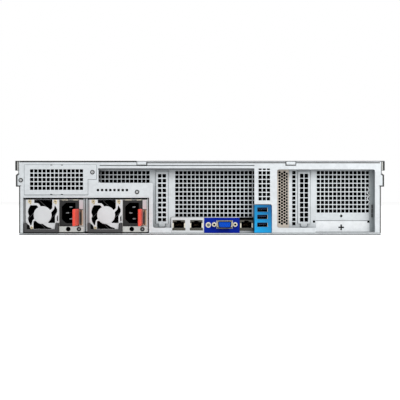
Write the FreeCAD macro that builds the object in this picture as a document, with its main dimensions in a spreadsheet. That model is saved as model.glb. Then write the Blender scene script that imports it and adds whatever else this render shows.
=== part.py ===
import FreeCAD, Part
import math
import os
from types import SimpleNamespace

import Sketcher

# A 2U rack server, modelled from its back. While it is built, X runs to the right as seen from
# behind the server, Y runs from the rear panel's face towards the drives, and Z runs up from
# the underside. Each finished piece is then moved along Y, so that the origin lies under the
# middle of the whole server.

SIZES = {
    # sheet metal shell
    "body_width": 426.0,
    "body_height": 87.5,
    "body_depth": 720.0,
    "sheet": 1.0,
    "cover_overhang": 4.5,
    "cover_drop": 11.5,
    "cover_depth": 535.0,
    "hem_height": 2.6,
    "seam": 0.3,
    # rear panel
    "lug_reach": 3.6,
    "lug_drop": 16.5,
    "lug_height": 12.0,
    "lug_slant": 3.0,
    "corner_radius": 2.6,
    "top_flange": 9.0,
    "rail_drop": 8.3,
    "rail_height": 3.3,
    "rail_reach": 0.8,
    "step_left": 94.0,
    "step_low": 61.6,
    "step_right": 157.6,
    "sill": 8.6,
    "sill_end": 179.4,
    "divider_left": 277.0,
    "divider_right": 303.8,
    "divider_low": 36.3,
    "right_window_margin": 8.0,
    "right_window_drop": 9.2,
    "right_window_low": 4.0,
    "right_step": 351.0,
    "tab_width": 11.3,
    "tab_drop": 3.9,
    "tab_left": 144.4,
    "tab_right": 320.1,
    # square perforations
    "vent_pitch_across": 4.87,
    "vent_pitch_up": 5.08,
    "vent_hole": 3.55,
    "vent_low": 23.13,
    "main_vent_left": 185.44,
    "main_vent_columns": 19,
    "main_vent_rows": 11,
    "edge_vent_rows": 8,
    "upper_vent_left": 92.3,
    "upper_vent_columns": 13,
    "upper_vent_rows": 3,
    "side_vent_left": 354.4,
    "side_vent_columns": 13,
    "side_vent_rows": 10,
    "lone_vent_across": 325.1,
    "lone_vent_rows": 13,
    "divider_vent_left": 283.8,
    "divider_vent_low": 42.8,
    "divider_vent_columns": 3,
    "divider_vent_rows": 7,
    "round_vent_left": 92.8,
    "round_vent_height": 53.0,
    "round_vent_radius": 1.5,
    "round_vent_count": 8,
    # cover plate over the upper left bay
    "bay_left": 6.4,
    "bay_right": 81.0,
    "bay_low": 47.6,
    "bay_drop": 3.7,
    "bay_tab_right": 91.0,
    "bay_tab_low": 65.7,
    "bay_sheet": 0.8,
    "bay_border": 5.0,
    "bay_vent_left": 15.0,
    "bay_vent_low": 55.2,
    "bay_vent_columns": 13,
    "bay_vent_rows": 5,
    "bay_slot": 1.3,
    "bay_slot_left": 38.0,
    "bay_slot_right": 50.5,
    # riser cages and their slot blanks
    "recess": 11.5,
    "cage_drop": 4.5,
    "cage_depth": 170.0,
    "cage_left": 90.0,
    "cage_step": 47.0,
    "cage_step_side": 155.0,
    "cage_port_edge": 178.0,
    "cage_port_top": 20.6,
    "cage_right": 281.5,
    "slot_left_middle": 167.65,
    "slot_right_middle": 337.1,
    "slot_wide": 12.4,
    "slot_low": 14.5,
    "slot_drop": 8.5,
    "blank_width": 15.4,
    "blank_low": 13.0,
    "blank_drop": 5.4,
    "blank_sheet": 0.8,
    "tongue_width": 8.4,
    "tongue_drop": 4.2,
    "blank_hole": 4.2,
    "blank_pitch_across": 5.45,
    "blank_pitch_up": 5.82,
    "blank_rows": 10,
    "blank_vent_low": 17.8,
    "right_cage_margin": 6.0,
    "filler_seam": 16.4,
    "filler_groove": 0.5,
    "filler_left": 350.5,
    "filler_margin": 13.2,
    "cross_margin": 44.4,
    "notch": 2.6,
    "cross_arm": 5.2,
    "cross_bar": 1.2,
    "cross_height": 8.6,
    "pin_hole": 2.0,
    "pin_hole_height": 22.2,
    # fine gasket screen
    "screen_left": 304.8,
    "screen_right": 320.3,
    "screen_low": 5.5,
    "screen_border": 1.4,
    "screen_sheet": 0.5,
    "screen_slot_width": 4.4,
    "screen_slot_height": 1.9,
    "screen_pitch_across": 5.9,
    "screen_pitch_up": 3.5,
    "screen_rows": 18,
    "screen_vent_left": 309.4,
    "screen_vent_low": 14.8,
    # power supplies
    "psu_left": 5.8,
    "psu_pitch": 74.8,
    "psu_low": 3.0,
    "psu_width": 70.0,
    "psu_height": 40.0,
    "psu_depth": 185.0,
    "psu_inset": 1.5,
    "psu_gap": 0.3,
    "cage_wall": 1.2,
    "bay_opening_left_gap": 1.1,
    "bay_opening_right_gap": 2.4,
    "bay_opening_lip": 0.9,
    "fan_from_side": 21.7,
    "fan_from_floor": 20.5,
    "well_radius": 18.4,
    "well_depth": 14.0,
    "guard_sheet": 1.0,
    "guard_disc": 10.3,
    "guard_half": 19.4,
    "guard_strip": 2.2,
    "guard_strip_drop": 9.6,
    "guard_plate": 9.0,
    "guard_plate_height": 6.2,
    "guard_tab": 4.6,
    "guard_tab_drop": 17.0,
    "arm_root_out": 9.0,
    "arm_root_in": 7.4,
    "arm_root_low": 4.0,
    "arm_root_high": 6.4,
    "arm_side": 13.4,
    "arm_bend_low": 9.4,
    "arm_bend_high": 10.2,
    "arm_tip_high": 14.4,
    "arm_width": 2.2,
    "blade_count": 7,
    "rotor_inset": 3.6,
    "psu_hub": 8.0,
    "psu_blade_tip": 17.2,
    "psu_blade_width": 8.0,
    "inlet_from_side": 41.5,
    "inlet_width": 23.0,
    "inlet_from_floor": 7.7,
    "inlet_height": 30.5,
    "inlet_depth": 24.0,
    "socket_width": 16.0,
    "socket_height": 24.0,
    "socket_depth": 17.0,
    "socket_chamfer": 4.6,
    "socket_inset": 2.8,
    "blade_pin_width": 2.0,
    "blade_pin_height": 4.0,
    "blade_pin_spread": 7.0,
    "sill_plate_high": 7.4,
    "lock_hole_radius": 2.25,
    "lock_hole_from_side": 52.0,
    "lock_hole_height": 4.1,
    "latch_width": 4.7,
    "latch_high": 21.6,
    "latch_from_floor": 6.6,
    "latch_edge": 65.6,
    "latch_reach": 25.0,
    "latch_gap": 1.6,
    "latch_stem": 1.5,
    "latch_pocket": 22.0,
    "latch_clear": 1.9,
    "bail_thickness": 2.2,
    "bail_gap": 0.5,
    "bail_bar": 3.7,
    "bail_arm": 3.4,
    "bail_width": 40.6,
    "bail_rise": 11.6,
    # ports
    "port_face": 9.4,
    "shield_sheet": 0.6,
    "label_sheet": 0.3,
    "board_top": 5.0,
    "board_sheet": 1.6,
    "board_rear": 10.4,
    "jack_width": 16.0,
    "jack_height": 12.4,
    "jack_depth": 21.0,
    "jack_mouth_width": 11.8,
    "jack_mouth_height": 8.0,
    "jack_mouth_low": 1.6,
    "jack_mouth_depth": 14.0,
    "jack_key_width": 4.4,
    "jack_key_height": 1.6,
    "jack_first": 187.8,
    "jack_second": 208.7,
    "jack_third": 268.4,
    "blue_left": 217.9,
    "blue_right": 260.2,
    "label_high": 20.2,
    "label_low": 2.3,
    "white_left": 178.8,
    "display_middle": 242.3,
    "display_height": 12.1,
    "display_width": 17.4,
    "display_shell_height": 8.6,
    "display_taper": 1.2,
    "display_reach": 5.6,
    "display_back": 10.0,
    "display_wall": 0.8,
    "display_screw_spread": 25.0,
    "display_screw_size": 2.7,
    "display_flange_height": 12.2,
    "button_across": 223.0,
    "button_height": 11.6,
    "button_radius": 1.7,
    "button_ring": 3.6,
    "button_ring_reach": 1.0,
    "button_reach": 0.4,
    "button_length": 5.0,
    "button_fit": 0.1,
    "usb_left": 277.2,
    "usb_right": 297.4,
    "usb_low": 2.8,
    "usb_high": 35.6,
    "usb_depth": 17.0,
    "usb_inset": 0.4,
    "usb_slot_left": 280.5,
    "usb_slot_width": 12.3,
    "usb_slot_height": 5.1,
    "usb_slot_low": 12.1,
    "usb_slot_middle": 21.3,
    "usb_slot_high": 29.9,
    "usb_slot_depth": 12.0,
    "usb_tongue": 1.9,
    # inside
    "board_left": 158.0,
    "board_step_gap": 18.0,
    "board_side_gap": 3.2,
    "standoff_inset": 9.0,
    "standoff_radius": 3.0,
    "board_front_gap": 3.0,
    "sink_size": 86.0,
    "sink_clear": 11.4,
    "sink_base": 6.0,
    "fin_count": 12,
    "fin_sheet": 1.2,
    "sink_side_gap": 100.0,
    "sink_front_gap": 79.0,
    "memory_length": 133.0,
    "memory_height": 31.0,
    "memory_sheet": 3.6,
    "memory_pitch": 9.0,
    "memory_bank": 4,
    "shroud_rear_gap": 37.0,
    "shroud_front_gap": 6.0,
    "shroud_side_gap": 8.0,
    "shroud_drop": 7.0,
    "shroud_sheet": 1.6,
    "fan_side_gap": 8.0,
    "fan_count": 4,
    "fan_deep": 38.0,
    "fan_front_gap": 40.0,
    "fan_rim": 1.4,
    "fan_hub": 18.0,
    "fan_tip_gap": 2.0,
    "fan_spoke": 5.0,
    "fan_blade_width": 24.0,
    "blade_sheet": 1.0,
    "blade_seat": 2.0,
    "blade_pitch": 35.0,
    # front end
    "drive_bay_depth": 184.0,
    "drive_columns": 4,
    "drive_rows": 2,
    "fascia_height": 27.1,
    "drive_gap": 0.4,
    "carrier_depth": 165.0,
    "drive_headroom": 3.1,
    "bezel_depth": 12.0,
    "carrier_rail": 1.2,
    "lever_depth": 5.0,
    "lever_height": 11.0,
    "lever_length": 84.0,
    "lever_offset": 4.0,
    "lever_pin": 1.5,
    "slot_count": 5,
    "slot_height": 6.0,
    "backplane_sheet": 2.4,
    "strip_drop": 14.9,
    "strip_slots": 14,
    "strip_slot_width": 13.0,
    "strip_slot_pitch": 18.0,
    "strip_slot_height": 9.0,
    "power_margin": 27.0,
    "power_drop": 12.0,
    "power_radius": 4.5,
    "ear_width": 28.3,
    "ear_sheet": 3.0,
    "ear_wrap": 28.0,
    "ear_hole_half": 3.5,
    "ear_slot_length": 11.0,
    "ear_slot_round": 3.43,
    "ear_hole_margin": 19.55,
    "ear_hole_edge": 5.65,
    "grip_reach": 38.0,
    "grip_bar": 9.0,
    "grip_width": 12.0,
    "grip_height": 66.0,
    "stud_radius": 3.0,
    "stud_reach": 3.9,
    "stud_height": 30.0,
    "stud_first": 70.0,
    "stud_pitch": 270.0,
    "stud_count": 3,
    "screw_radius": 2.4,
    "screw_head": 1.0,
    "bay_screw_across": 86.5,
    "bay_screw_height": 74.0,
    "wall_screw_across": 138.9,
    "wall_screw_height": 50.8,
    "lug_screw_across": 2.0,
    "lug_screw_drop": 21.8,
    # cover latch
    "lever_plate_length": 96.0,
    "lever_plate_width": 30.0,
    "lever_plate_sheet": 3.4,
    "lever_plate_setback": 155.0,
    "pan_depth": 5.2,
    "pan_front": 1.5,
}


class Size(float):
    """A number that also carries its expression on the size sheet."""

    def __new__(cls, number, text):
        made = super().__new__(cls, number)
        made.text = text
        return made

    def __add__(self, other):
        return Size(float(self) + float(other), f"({self.text} + {words(other)})")

    __radd__ = __add__

    def __sub__(self, other):
        return Size(float(self) - float(other), f"({self.text} - {words(other)})")

    def __rsub__(self, other):
        return Size(float(other) - float(self), f"({words(other)} - {self.text})")

    def __mul__(self, other):
        return Size(float(self) * float(other), f"({self.text} * {words(other)})")

    __rmul__ = __mul__

    def __truediv__(self, other):
        return Size(float(self) / float(other), f"({self.text} / {words(other)})")

    def __neg__(self):
        return Size(-float(self), f"(-{self.text})")


def words(item):
    """The expression text of a size or of a plain number."""
    return item.text if isinstance(item, Size) else repr(float(item))


# These sizes are places across the server, measured from the face of its left side wall.
ACROSS = (
    "step_left", "step_right", "sill_end", "divider_left", "divider_right", "right_step", "tab_left",
    "tab_right", "main_vent_left", "upper_vent_left", "side_vent_left", "lone_vent_across",
    "divider_vent_left", "round_vent_left", "bay_left", "bay_right", "bay_tab_right", "bay_vent_left",
    "bay_slot_left", "bay_slot_right", "cage_left", "cage_step_side", "cage_port_edge", "cage_right",
    "slot_left_middle", "slot_right_middle", "filler_left", "screen_left", "screen_right",
    "screen_vent_left", "psu_left", "jack_first", "jack_second", "jack_third", "blue_left", "blue_right",
    "white_left", "display_middle", "button_across", "usb_left", "usb_right", "usb_slot_left",
    "board_left", "bay_screw_across", "wall_screw_across", "lug_screw_across",
)


def size_sheet():
    """Fill the size sheet, and give its values by name."""
    sheet = DOC.addObject("Spreadsheet::Sheet", "sizes")
    for row, (name, number) in enumerate(SIZES.items(), start=1):
        sheet.set(f"A{row}", name)
        sheet.set(f"B{row}", str(number))
        sheet.setAlias(f"B{row}", name)
    DOC.recompute()
    sizes = SimpleNamespace(**{name: Size(number, f"sizes.{name}") for name, number in SIZES.items()})
    for name in ACROSS:
        setattr(sizes, name, getattr(sizes, name) - sizes.body_width / 2)
    return sizes


# Rounds that carry nothing and turn in nothing are drawn with this many flat sides.
LARGE_SIDES = 20
BUTTON_SIDES = 16
SMALL_SIDES = 8

DOC = FreeCAD.newDocument("rack_server")
S = size_sheet()
NODES = []

HALF = S.body_width / 2
INNER = HALF - S.sheet
ROOF = S.body_height - S.sheet

# What follows from the sizes above: what hangs from the roof, keeps its margin to a side wall,
# or stands a clearance away from its neighbour.
S.cover_width = S.body_width + 2 * S.cover_overhang
S.lug_high = ROOF - S.lug_drop
S.lug_low = S.lug_high - S.lug_height
S.lug_screw_height = ROOF - S.lug_screw_drop
S.rail_low = ROOF - S.rail_drop
S.bay_high = ROOF - S.bay_drop
S.cage_top = ROOF - S.cage_drop
S.slot_high = S.cage_top - S.slot_drop
S.blank_high = S.cage_top - S.blank_drop
S.right_window_top = ROOF - S.right_window_drop
S.right_window_end = HALF - S.right_window_margin
S.right_cage_end = HALF - S.right_cage_margin
S.filler_right = HALF - S.filler_margin
S.filler_middle = HALF - S.cross_margin
S.bay_opening_left = S.psu_left - S.bay_opening_left_gap
S.bay_opening_right = S.psu_left + S.psu_pitch + S.psu_width + S.bay_opening_right_gap
S.bay_opening_high = S.psu_low + S.psu_height + S.bay_opening_lip
S.lever_plate_rear = S.cover_depth - S.lever_plate_setback
S.cage_rear = S.body_depth - S.drive_bay_depth
S.drive_pitch_across = (2 * INNER - 2 * S.seam - S.sheet) / S.drive_columns
S.drive_pitch_up = (ROOF - S.sheet - S.fascia_height) / S.drive_rows
S.drive_height = S.drive_pitch_up - S.drive_headroom
S.strip_middle = ROOF - S.strip_drop
S.power_across = HALF - S.power_margin
S.power_height = ROOF - S.power_drop
S.rack_width = S.body_width + 2 * S.ear_width
S.ear_hole_spread = S.body_width + 2 * S.ear_hole_margin
S.ear_hole_rise = S.body_height - 2 * S.ear_hole_edge
S.fan_size = ROOF - S.pan_depth - S.seam - S.sheet
S.fan_bore = S.fan_size / 2 - S.fan_rim
S.fan_tip = S.fan_bore - S.fan_tip_gap
S.fan_pitch = (2 * INNER - 2 * S.fan_side_gap) / S.fan_count
S.fan_rear = S.cage_rear - S.fan_front_gap - S.fan_deep
S.board_step = S.psu_depth + S.board_step_gap
S.board_front = S.fan_rear - S.board_front_gap
S.shroud_half = INNER - S.shroud_side_gap
S.shroud_top = S.sheet + S.fan_size - S.shroud_drop
S.shroud_rear = S.board_step + S.shroud_rear_gap
S.shroud_front = S.fan_rear - S.shroud_front_gap
S.sink_spread = INNER - S.sink_side_gap
S.sink_rear = S.board_front - S.sink_front_gap - S.sink_size
S.sink_height = S.shroud_top - S.shroud_sheet - S.sink_clear - S.board_top


# ---------------------------------------------------------------- tools for solids

def bind(thing, path, size):
    """Bind one property of an object to a size."""
    thing.setExpression(path, words(size))


def place(thing, x, y, z):
    for axis, size in zip("xyz", (x, y, z)):
        bind(thing, f".Placement.Base.{axis}", size)


def block(x, y, z):
    """A box between pairs of low and high values."""
    solid = DOC.addObject("Part::Box", "block")
    for side, (low, high) in zip(("Length", "Width", "Height"), (x, y, z)):
        bind(solid, side, high - low)
    place(solid, x[0], y[0], z[0])
    return solid


TURNS = {
    "x": FreeCAD.Rotation(FreeCAD.Vector(0, 1, 0), 90),
    "y": FreeCAD.Rotation(FreeCAD.Vector(1, 0, 0), -90),
    "z": FreeCAD.Rotation(),
}


def rod(axis, start, length, radius):
    """A round bar from a start point along an axis."""
    solid = DOC.addObject("Part::Cylinder", "rod")
    bind(solid, "Radius", radius)
    bind(solid, "Height", length)
    solid.Placement = FreeCAD.Placement(FreeCAD.Vector(), TURNS[axis])
    place(solid, *start)
    return solid


def prism(axis, start, length, radius, corners):
    """A regular bar with flat sides, from a start point along an axis."""
    solid = DOC.addObject("Part::Prism", "prism")
    solid.Polygon = corners
    bind(solid, "Circumradius", radius)
    bind(solid, "Height", length)
    solid.Placement = FreeCAD.Placement(FreeCAD.Vector(), TURNS[axis])
    place(solid, *start)
    return solid


def joined(*solids):
    """One solid from several that touch, or a group from several that don't."""
    if len(solids) == 1:
        return solids[0]
    whole = DOC.addObject("Part::MultiFuse", "joined")
    whole.Shapes = list(solids)
    whole.Refine = True
    return whole


def group(*solids):
    """Several plates of one piece, kept as separate solids that touch."""
    whole = DOC.addObject("Part::Compound", "group")
    whole.Links = list(solids)
    return whole


def cut(base, *tools):
    left = DOC.addObject("Part::Cut", "cut")
    left.Base = base
    left.Tool = joined(*tools)
    return left


def node(name, thing, x=0.0, y=0.0, z=0.0):
    """Name a finished piece, drawn about x, y, z, and put the origin under the server's middle."""
    thing.Label = name
    rear = (S.latch_reach - S.grip_reach - S.body_depth) / 2
    place(thing, x, y + rear, z)
    NODES.append(thing)
    return thing


def same_as(form):
    """Another piece of the same form, to be put in a place of its own."""
    piece = DOC.addObject("Part::Compound", "piece")
    piece.Links = [form]
    return piece


def side_span(side, near, far):
    """The X span between two distances from the middle, on the left (-1) or the right (1)."""
    return (near, far) if side > 0 else (-far, -near)


# ---------------------------------------------------------------- tools for bodies

def new_body(name):
    return DOC.addObject("PartDesign::Body", name)


def sketch_at(body, start, across):
    """A sketch at a distance along Y, drawn in X and Z, or along X, drawn in Y and Z."""
    sketch = body.newObject("Sketcher::SketchObject", "outline")
    role = "YZ_Plane" if across else "XZ_Plane"
    plane = [item for item in body.Origin.OriginFeatures if item.Role == role][0]
    sketch.AttachmentSupport = [(plane, "")]
    sketch.MapMode = "FlatFace"
    bind(sketch, "AttachmentOffset.Base.z", start if across else -start)
    return sketch


def fix(sketch, kind, *where, size):
    """Add a dimension to a sketch and bind it to a size."""
    number = sketch.addConstraint(Sketcher.Constraint(kind, *where, float(size)))
    bind(sketch, f"Constraints[{number}]", size)


def stepped(sketch, sides, rounds=None):
    """Draw a closed outline of level and upright sides, given in turn as z, x, z, x.

    rounds gives the radius of rounded corners by number: corner n ends side n.
    """
    rounds = rounds or {}
    count = len(sides)
    corners = [FreeCAD.Vector(*(sides[(n + 1) % count], sides[n]) if n % 2 == 0
                              else (sides[n], sides[(n + 1) % count]), 0) for n in range(count)]
    along = [(corners[n] - corners[n - 1]).normalize() for n in range(count)]
    first = sketch.GeometryCount
    for n in range(count):
        start = corners[n - 1] + along[n] * float(rounds.get((n - 1) % count, 0))
        end = corners[n] - along[n] * float(rounds.get(n, 0))
        sketch.addGeometry(Part.LineSegment(start, end), False)
        sketch.addConstraint(Sketcher.Constraint("Vertical" if n % 2 else "Horizontal", first + n))
        fix(sketch, "DistanceX" if n % 2 else "DistanceY", -1, 1, first + n, 1, size=sides[n])
    for n in range(count):
        after = first + (n + 1) % count
        if n in rounds:
            round_corner(sketch, first + n, after, along[n], along[(n + 1) % count], corners[n], rounds[n])
        else:
            sketch.addConstraint(Sketcher.Constraint("Coincident", first + n, 2, after, 1))


def round_corner(sketch, before, after, inward, outward, corner, radius):
    """Join two sides of an outline with a tangent arc."""
    centre = corner - inward * float(radius) + outward * float(radius)
    turns_left = inward.x * outward.y - inward.y * outward.x > 0
    first, last = (-outward, inward) if turns_left else (inward, -outward)
    start = math.atan2(first.y, first.x)
    end = math.atan2(last.y, last.x)
    circle = Part.Circle(centre, FreeCAD.Vector(0, 0, 1), float(radius))
    end = end if end > start else end + 2 * math.pi
    arc = sketch.addGeometry(Part.ArcOfCircle(circle, start, end), False)
    near, far = (1, 2) if turns_left else (2, 1)
    sketch.addConstraint(Sketcher.Constraint("Tangent", before, 2, arc, near))
    sketch.addConstraint(Sketcher.Constraint("Tangent", arc, far, after, 1))
    fix(sketch, "Radius", arc, size=radius)


def polygon(sketch, points):
    """Draw a closed outline through points, each an x and a z."""
    first = sketch.GeometryCount
    count = len(points)
    for n, (x, z) in enumerate(points):
        start = FreeCAD.Vector(x, z, 0)
        end = FreeCAD.Vector(*points[(n + 1) % count], 0)
        sketch.addGeometry(Part.LineSegment(start, end), False)
    for n, (x, z) in enumerate(points):
        sketch.addConstraint(Sketcher.Constraint("Coincident", first + n, 2, first + (n + 1) % count, 1))
        fix(sketch, "DistanceX", -1, 1, first + n, 1, size=x)
        fix(sketch, "DistanceY", -1, 1, first + n, 1, size=z)


def square(sketch, x, z, width, height):
    """Draw a rectangle about its middle."""
    stepped(sketch, [z - height / 2, x + width / 2, z + height / 2, x - width / 2])


def rounded(sketch, x, z, radius, sides):
    """Draw a round outline about its middle, with flat sides."""
    turns = [2 * math.pi * n / sides for n in range(sides)]
    polygon(sketch, [(x + radius * math.cos(turn), z + radius * math.sin(turn)) for turn in turns])


def pad(body, start, depth, draw, across=False):
    """Add material from a distance along Y forwards, or from one along X to the right."""
    sketch = sketch_at(body, start, across)
    draw(sketch)
    feature = body.newObject("PartDesign::Pad", "pad")
    feature.Profile = sketch
    feature.Reversed = not across
    bind(feature, "Length", depth)
    return feature


def pocket(body, start, depth, draw):
    """Take material away from a distance along Y, forwards."""
    sketch = sketch_at(body, start, False)
    draw(sketch)
    feature = body.newObject("PartDesign::Pocket", "pocket")
    feature.Profile = sketch
    bind(feature, "Length", depth)
    return feature


def repeated(body, feature, columns, across, rows=1, up=0.0):
    """Repeat a feature to the right and upwards."""
    pattern = body.newObject("PartDesign::LinearPattern", "pattern")
    pattern.Originals = [feature]
    sketch = feature.Profile[0]
    pattern.Direction = (sketch, ["H_Axis"])
    pattern.Mode = "Spacing"
    bind(pattern, "Offset", across)
    bind(pattern, "Occurrences", columns)
    if rows > 1:
        pattern.Direction2 = (sketch, ["V_Axis"])
        pattern.Mode2 = "Spacing"
        bind(pattern, "Offset2", up)
        bind(pattern, "Occurrences2", rows)
        pattern.Spacings2 = [-1.0] * (int(rows) - 1)
    body.Tip = pattern
    return pattern


def uprights(body, start, depth, left, low, hole, columns, across, rows, up):
    """Upright slots, one along each column of a grille's holes."""
    slot = pocket(body, start, depth, lambda sketch: stepped(sketch, [
        low - hole / 2, left + hole / 2, low + (rows - 1) * up + hole / 2, left - hole / 2]))
    if columns > 1:
        repeated(body, slot, columns, across)


def levels(body, start, depth, left, low, hole, columns, across, rows, up):
    """Level slots, one along each row of a grille's holes."""
    slot = pocket(body, start, depth, lambda sketch: stepped(sketch, [
        low - hole / 2, left + (columns - 1) * across + hole / 2, low + hole / 2, left - hole / 2]))
    repeated(body, slot, 1, across, rows, up)


def lattice(body, face, sheet, *holes):
    """Square holes through a sheet: upright slots in its rear half, crossed by level slots in the rest."""
    uprights(body, face - S.sheet, S.sheet + sheet / 2, *holes)
    levels(body, face + sheet / 2, sheet / 2 + S.sheet, *holes)


def vents(left, low, columns, rows):
    """The server's usual square ventilation holes, from the lowest on the left."""
    return left, low, S.vent_hole, columns, S.vent_pitch_across, rows, S.vent_pitch_up


def layered(face, sheet, outline, openings, grilles):
    """A perforated plate of two layers of half a sheet: upright slots in the rear one, level slots
    in the front one, and so a square hole wherever they cross. Both layers are given."""
    layer = sheet / 2
    rear, front = new_body("rear_layer"), new_body("front_layer")
    for body, start, slots in ((rear, face, uprights), (front, face + layer, levels)):
        pad(body, start, layer, outline)
        for draw in openings:
            pocket(body, start - S.sheet, 3 * S.sheet, draw)
        for holes in grilles:
            slots(body, start - S.sheet, 3 * S.sheet, *holes)
    return rear, front


# ---------------------------------------------------------------- sheet metal shell

def chassis_tray():
    """The floor and side walls, with a hem turned up at the back."""
    body = new_body("chassis_tray")
    pad(body, S.sheet, S.body_depth - S.sheet, lambda sketch: stepped(sketch, [
        0.0, HALF, ROOF, INNER, S.sheet, -INNER, ROOF, -HALF]))
    pad(body, 0.0, S.sheet, lambda sketch: stepped(sketch, [0.0, HALF, S.hem_height, -HALF]))
    return node("chassis_tray", body)


def rear_panel():
    """The rear wall: its windows, the side lugs, the folded top, and the fixed grilles."""
    body = new_body("rear_panel")
    pad(body, 0.0, S.sheet, panel_outline)
    pad(body, S.sheet, S.top_flange, lambda sketch: stepped(sketch, [
        ROOF - S.sheet, INNER - S.seam, ROOF, -(INNER - S.seam)]))
    pad(body, -S.rail_reach, S.rail_reach, lambda sketch: stepped(sketch, [
        S.rail_low, S.divider_left, S.rail_low + S.rail_height, S.step_left - S.sheet]))
    for draw in (left_window, right_window, supply_opening, bay_window, tab_notches):
        pocket(body, -S.sheet, 3 * S.sheet, draw)
    vent = pocket(body, -S.sheet, 3 * S.sheet, lambda sketch: rounded(
        sketch, S.round_vent_left, S.round_vent_height, S.round_vent_radius, SMALL_SIDES))
    repeated(body, vent, S.round_vent_count, S.vent_pitch_across)
    over = S.divider_vent_low + S.divider_vent_rows * S.vent_pitch_up
    half_hole = pocket(body, -S.sheet, 3 * S.sheet, lambda sketch: square(
        sketch, S.divider_vent_left, over - S.vent_hole / 4, S.vent_hole, S.vent_hole / 2))
    repeated(body, half_hole, S.divider_vent_columns, S.vent_pitch_across)
    lattice(body, 0.0, S.sheet, *vents(
        S.divider_vent_left, S.divider_vent_low, S.divider_vent_columns, S.divider_vent_rows))
    return node("rear_panel", body)


def panel_outline(sketch):
    """The rear wall's edge: a lug with a slanted top stands out on each side."""
    reach = HALF + S.lug_reach
    right = [(HALF, S.hem_height), (HALF, S.lug_low), (reach, S.lug_low), (reach, S.lug_high),
             (HALF, S.lug_high + S.lug_slant), (HALF, ROOF)]
    polygon(sketch, right + [(-x, z) for x, z in reversed(right)])


def left_window(sketch):
    """The stepped opening over the riser slots, the port row and the USB stack."""
    below = S.hem_height - S.sheet
    stepped(sketch, [S.rail_low, S.step_left, S.step_low, S.step_right, S.sill, S.sill_end, below,
                     S.usb_right + S.seam, S.divider_low, S.divider_left],
            {1: S.corner_radius, 2: S.corner_radius, 3: S.corner_radius, 7: S.corner_radius})


def right_window(sketch):
    """The opening over the screen and the second riser."""
    stepped(sketch, [S.right_window_top, S.divider_right, S.sill, S.right_step, S.right_window_low,
                     S.right_window_end],
            {0: S.corner_radius, 1: S.corner_radius, 5: S.corner_radius})


def supply_opening(sketch):
    stepped(sketch, [S.bay_opening_high, S.bay_opening_left, S.hem_height - S.sheet, S.bay_opening_right])


def bay_window(sketch):
    """The opening behind the bay's cover plate."""
    border = S.bay_border
    stepped(sketch, [S.bay_high - border, S.bay_left + border, S.bay_low + border, S.bay_right - border])


def tab_notches(sketch):
    """Two notches in the top edge for the cover's hooks."""
    for middle in (S.tab_left, S.tab_right):
        half = S.tab_width / 2
        stepped(sketch, [ROOF - S.tab_drop, middle + half, ROOF + S.sheet, middle - half])


def rear_bay_cover():
    """The perforated plate over the upper left bay, with its screw tab."""
    rear, front = layered(
        -S.bay_sheet, S.bay_sheet, lambda sketch: stepped(sketch, [
            S.bay_high, S.bay_left, S.bay_low, S.bay_right, S.bay_tab_low, S.bay_tab_right]),
        [bay_slots],
        [vents(S.bay_vent_left, S.bay_vent_low, S.bay_vent_columns, S.bay_vent_rows)])
    return node("rear_bay_cover", group(rear, front))


def bay_slots(sketch):
    """Small slots in the plate's top and bottom edges, where it hooks in."""
    for x in (S.bay_slot_left, S.bay_slot_right):
        for z in (S.bay_low, S.bay_high):
            square(sketch, x, z, 2 * S.bay_slot, S.bay_slot)


def top_cover():
    """The lift-off cover: side flanges, rear hooks and a pan for its latch."""
    reach = S.cover_width / 2
    top = block((-reach, reach), (0.0, S.cover_depth), (ROOF, S.body_height))
    pieces = [top]
    for side in (-1, 1):
        x = side_span(side, reach - S.sheet, reach)
        pieces.append(block(x, (0.0, S.cover_depth), (S.body_height - S.cover_drop, ROOF)))
    for middle in (S.tab_left, S.tab_right):
        half = S.tab_width / 2 - S.seam
        pieces.append(block((middle - half, middle + half), (0.0, S.sheet),
                            (ROOF - S.tab_drop + S.seam, ROOF)))
    half = S.lever_plate_length / 2 + S.seam
    rear = S.lever_plate_rear - S.pan_front
    front = S.lever_plate_rear + S.lever_plate_width + S.pan_front
    pan = block((-half - S.sheet, half + S.sheet), (rear - S.sheet, front + S.sheet),
                (ROOF - S.pan_depth, ROOF))
    hollow = block((-half, half), (rear, front), (ROOF - S.pan_depth + S.sheet, S.body_height + S.sheet))
    return node("top_cover", cut(joined(*pieces, pan), hollow))


def cover_latch():
    """The flat lever that locks the cover, hinged along its front edge."""
    half = S.lever_plate_length / 2
    rear = S.lever_plate_rear
    front = rear + S.lever_plate_width
    top = S.body_height - S.seam
    plate = block((-half, half), (rear, front), (top - S.lever_plate_sheet, top))
    finger = block((-half / 3, half / 3), (rear - S.sheet, rear + S.lever_plate_width / 3),
                   (top - S.sheet, top + S.sheet))
    return node("cover_latch", cut(plate, finger))


def front_cover():
    """The fixed cover over the drive cage."""
    reach = S.cover_width / 2
    span = (S.cover_depth + S.seam, S.body_depth - S.ear_sheet - S.seam)
    sides = [block(side_span(side, reach - S.sheet, reach), span, (S.body_height - S.cover_drop, ROOF))
             for side in (-1, 1)]
    return node("front_cover", joined(block((-reach, reach), span, (ROOF, S.body_height)), *sides))


# ---------------------------------------------------------------- riser cages and grilles

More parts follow.
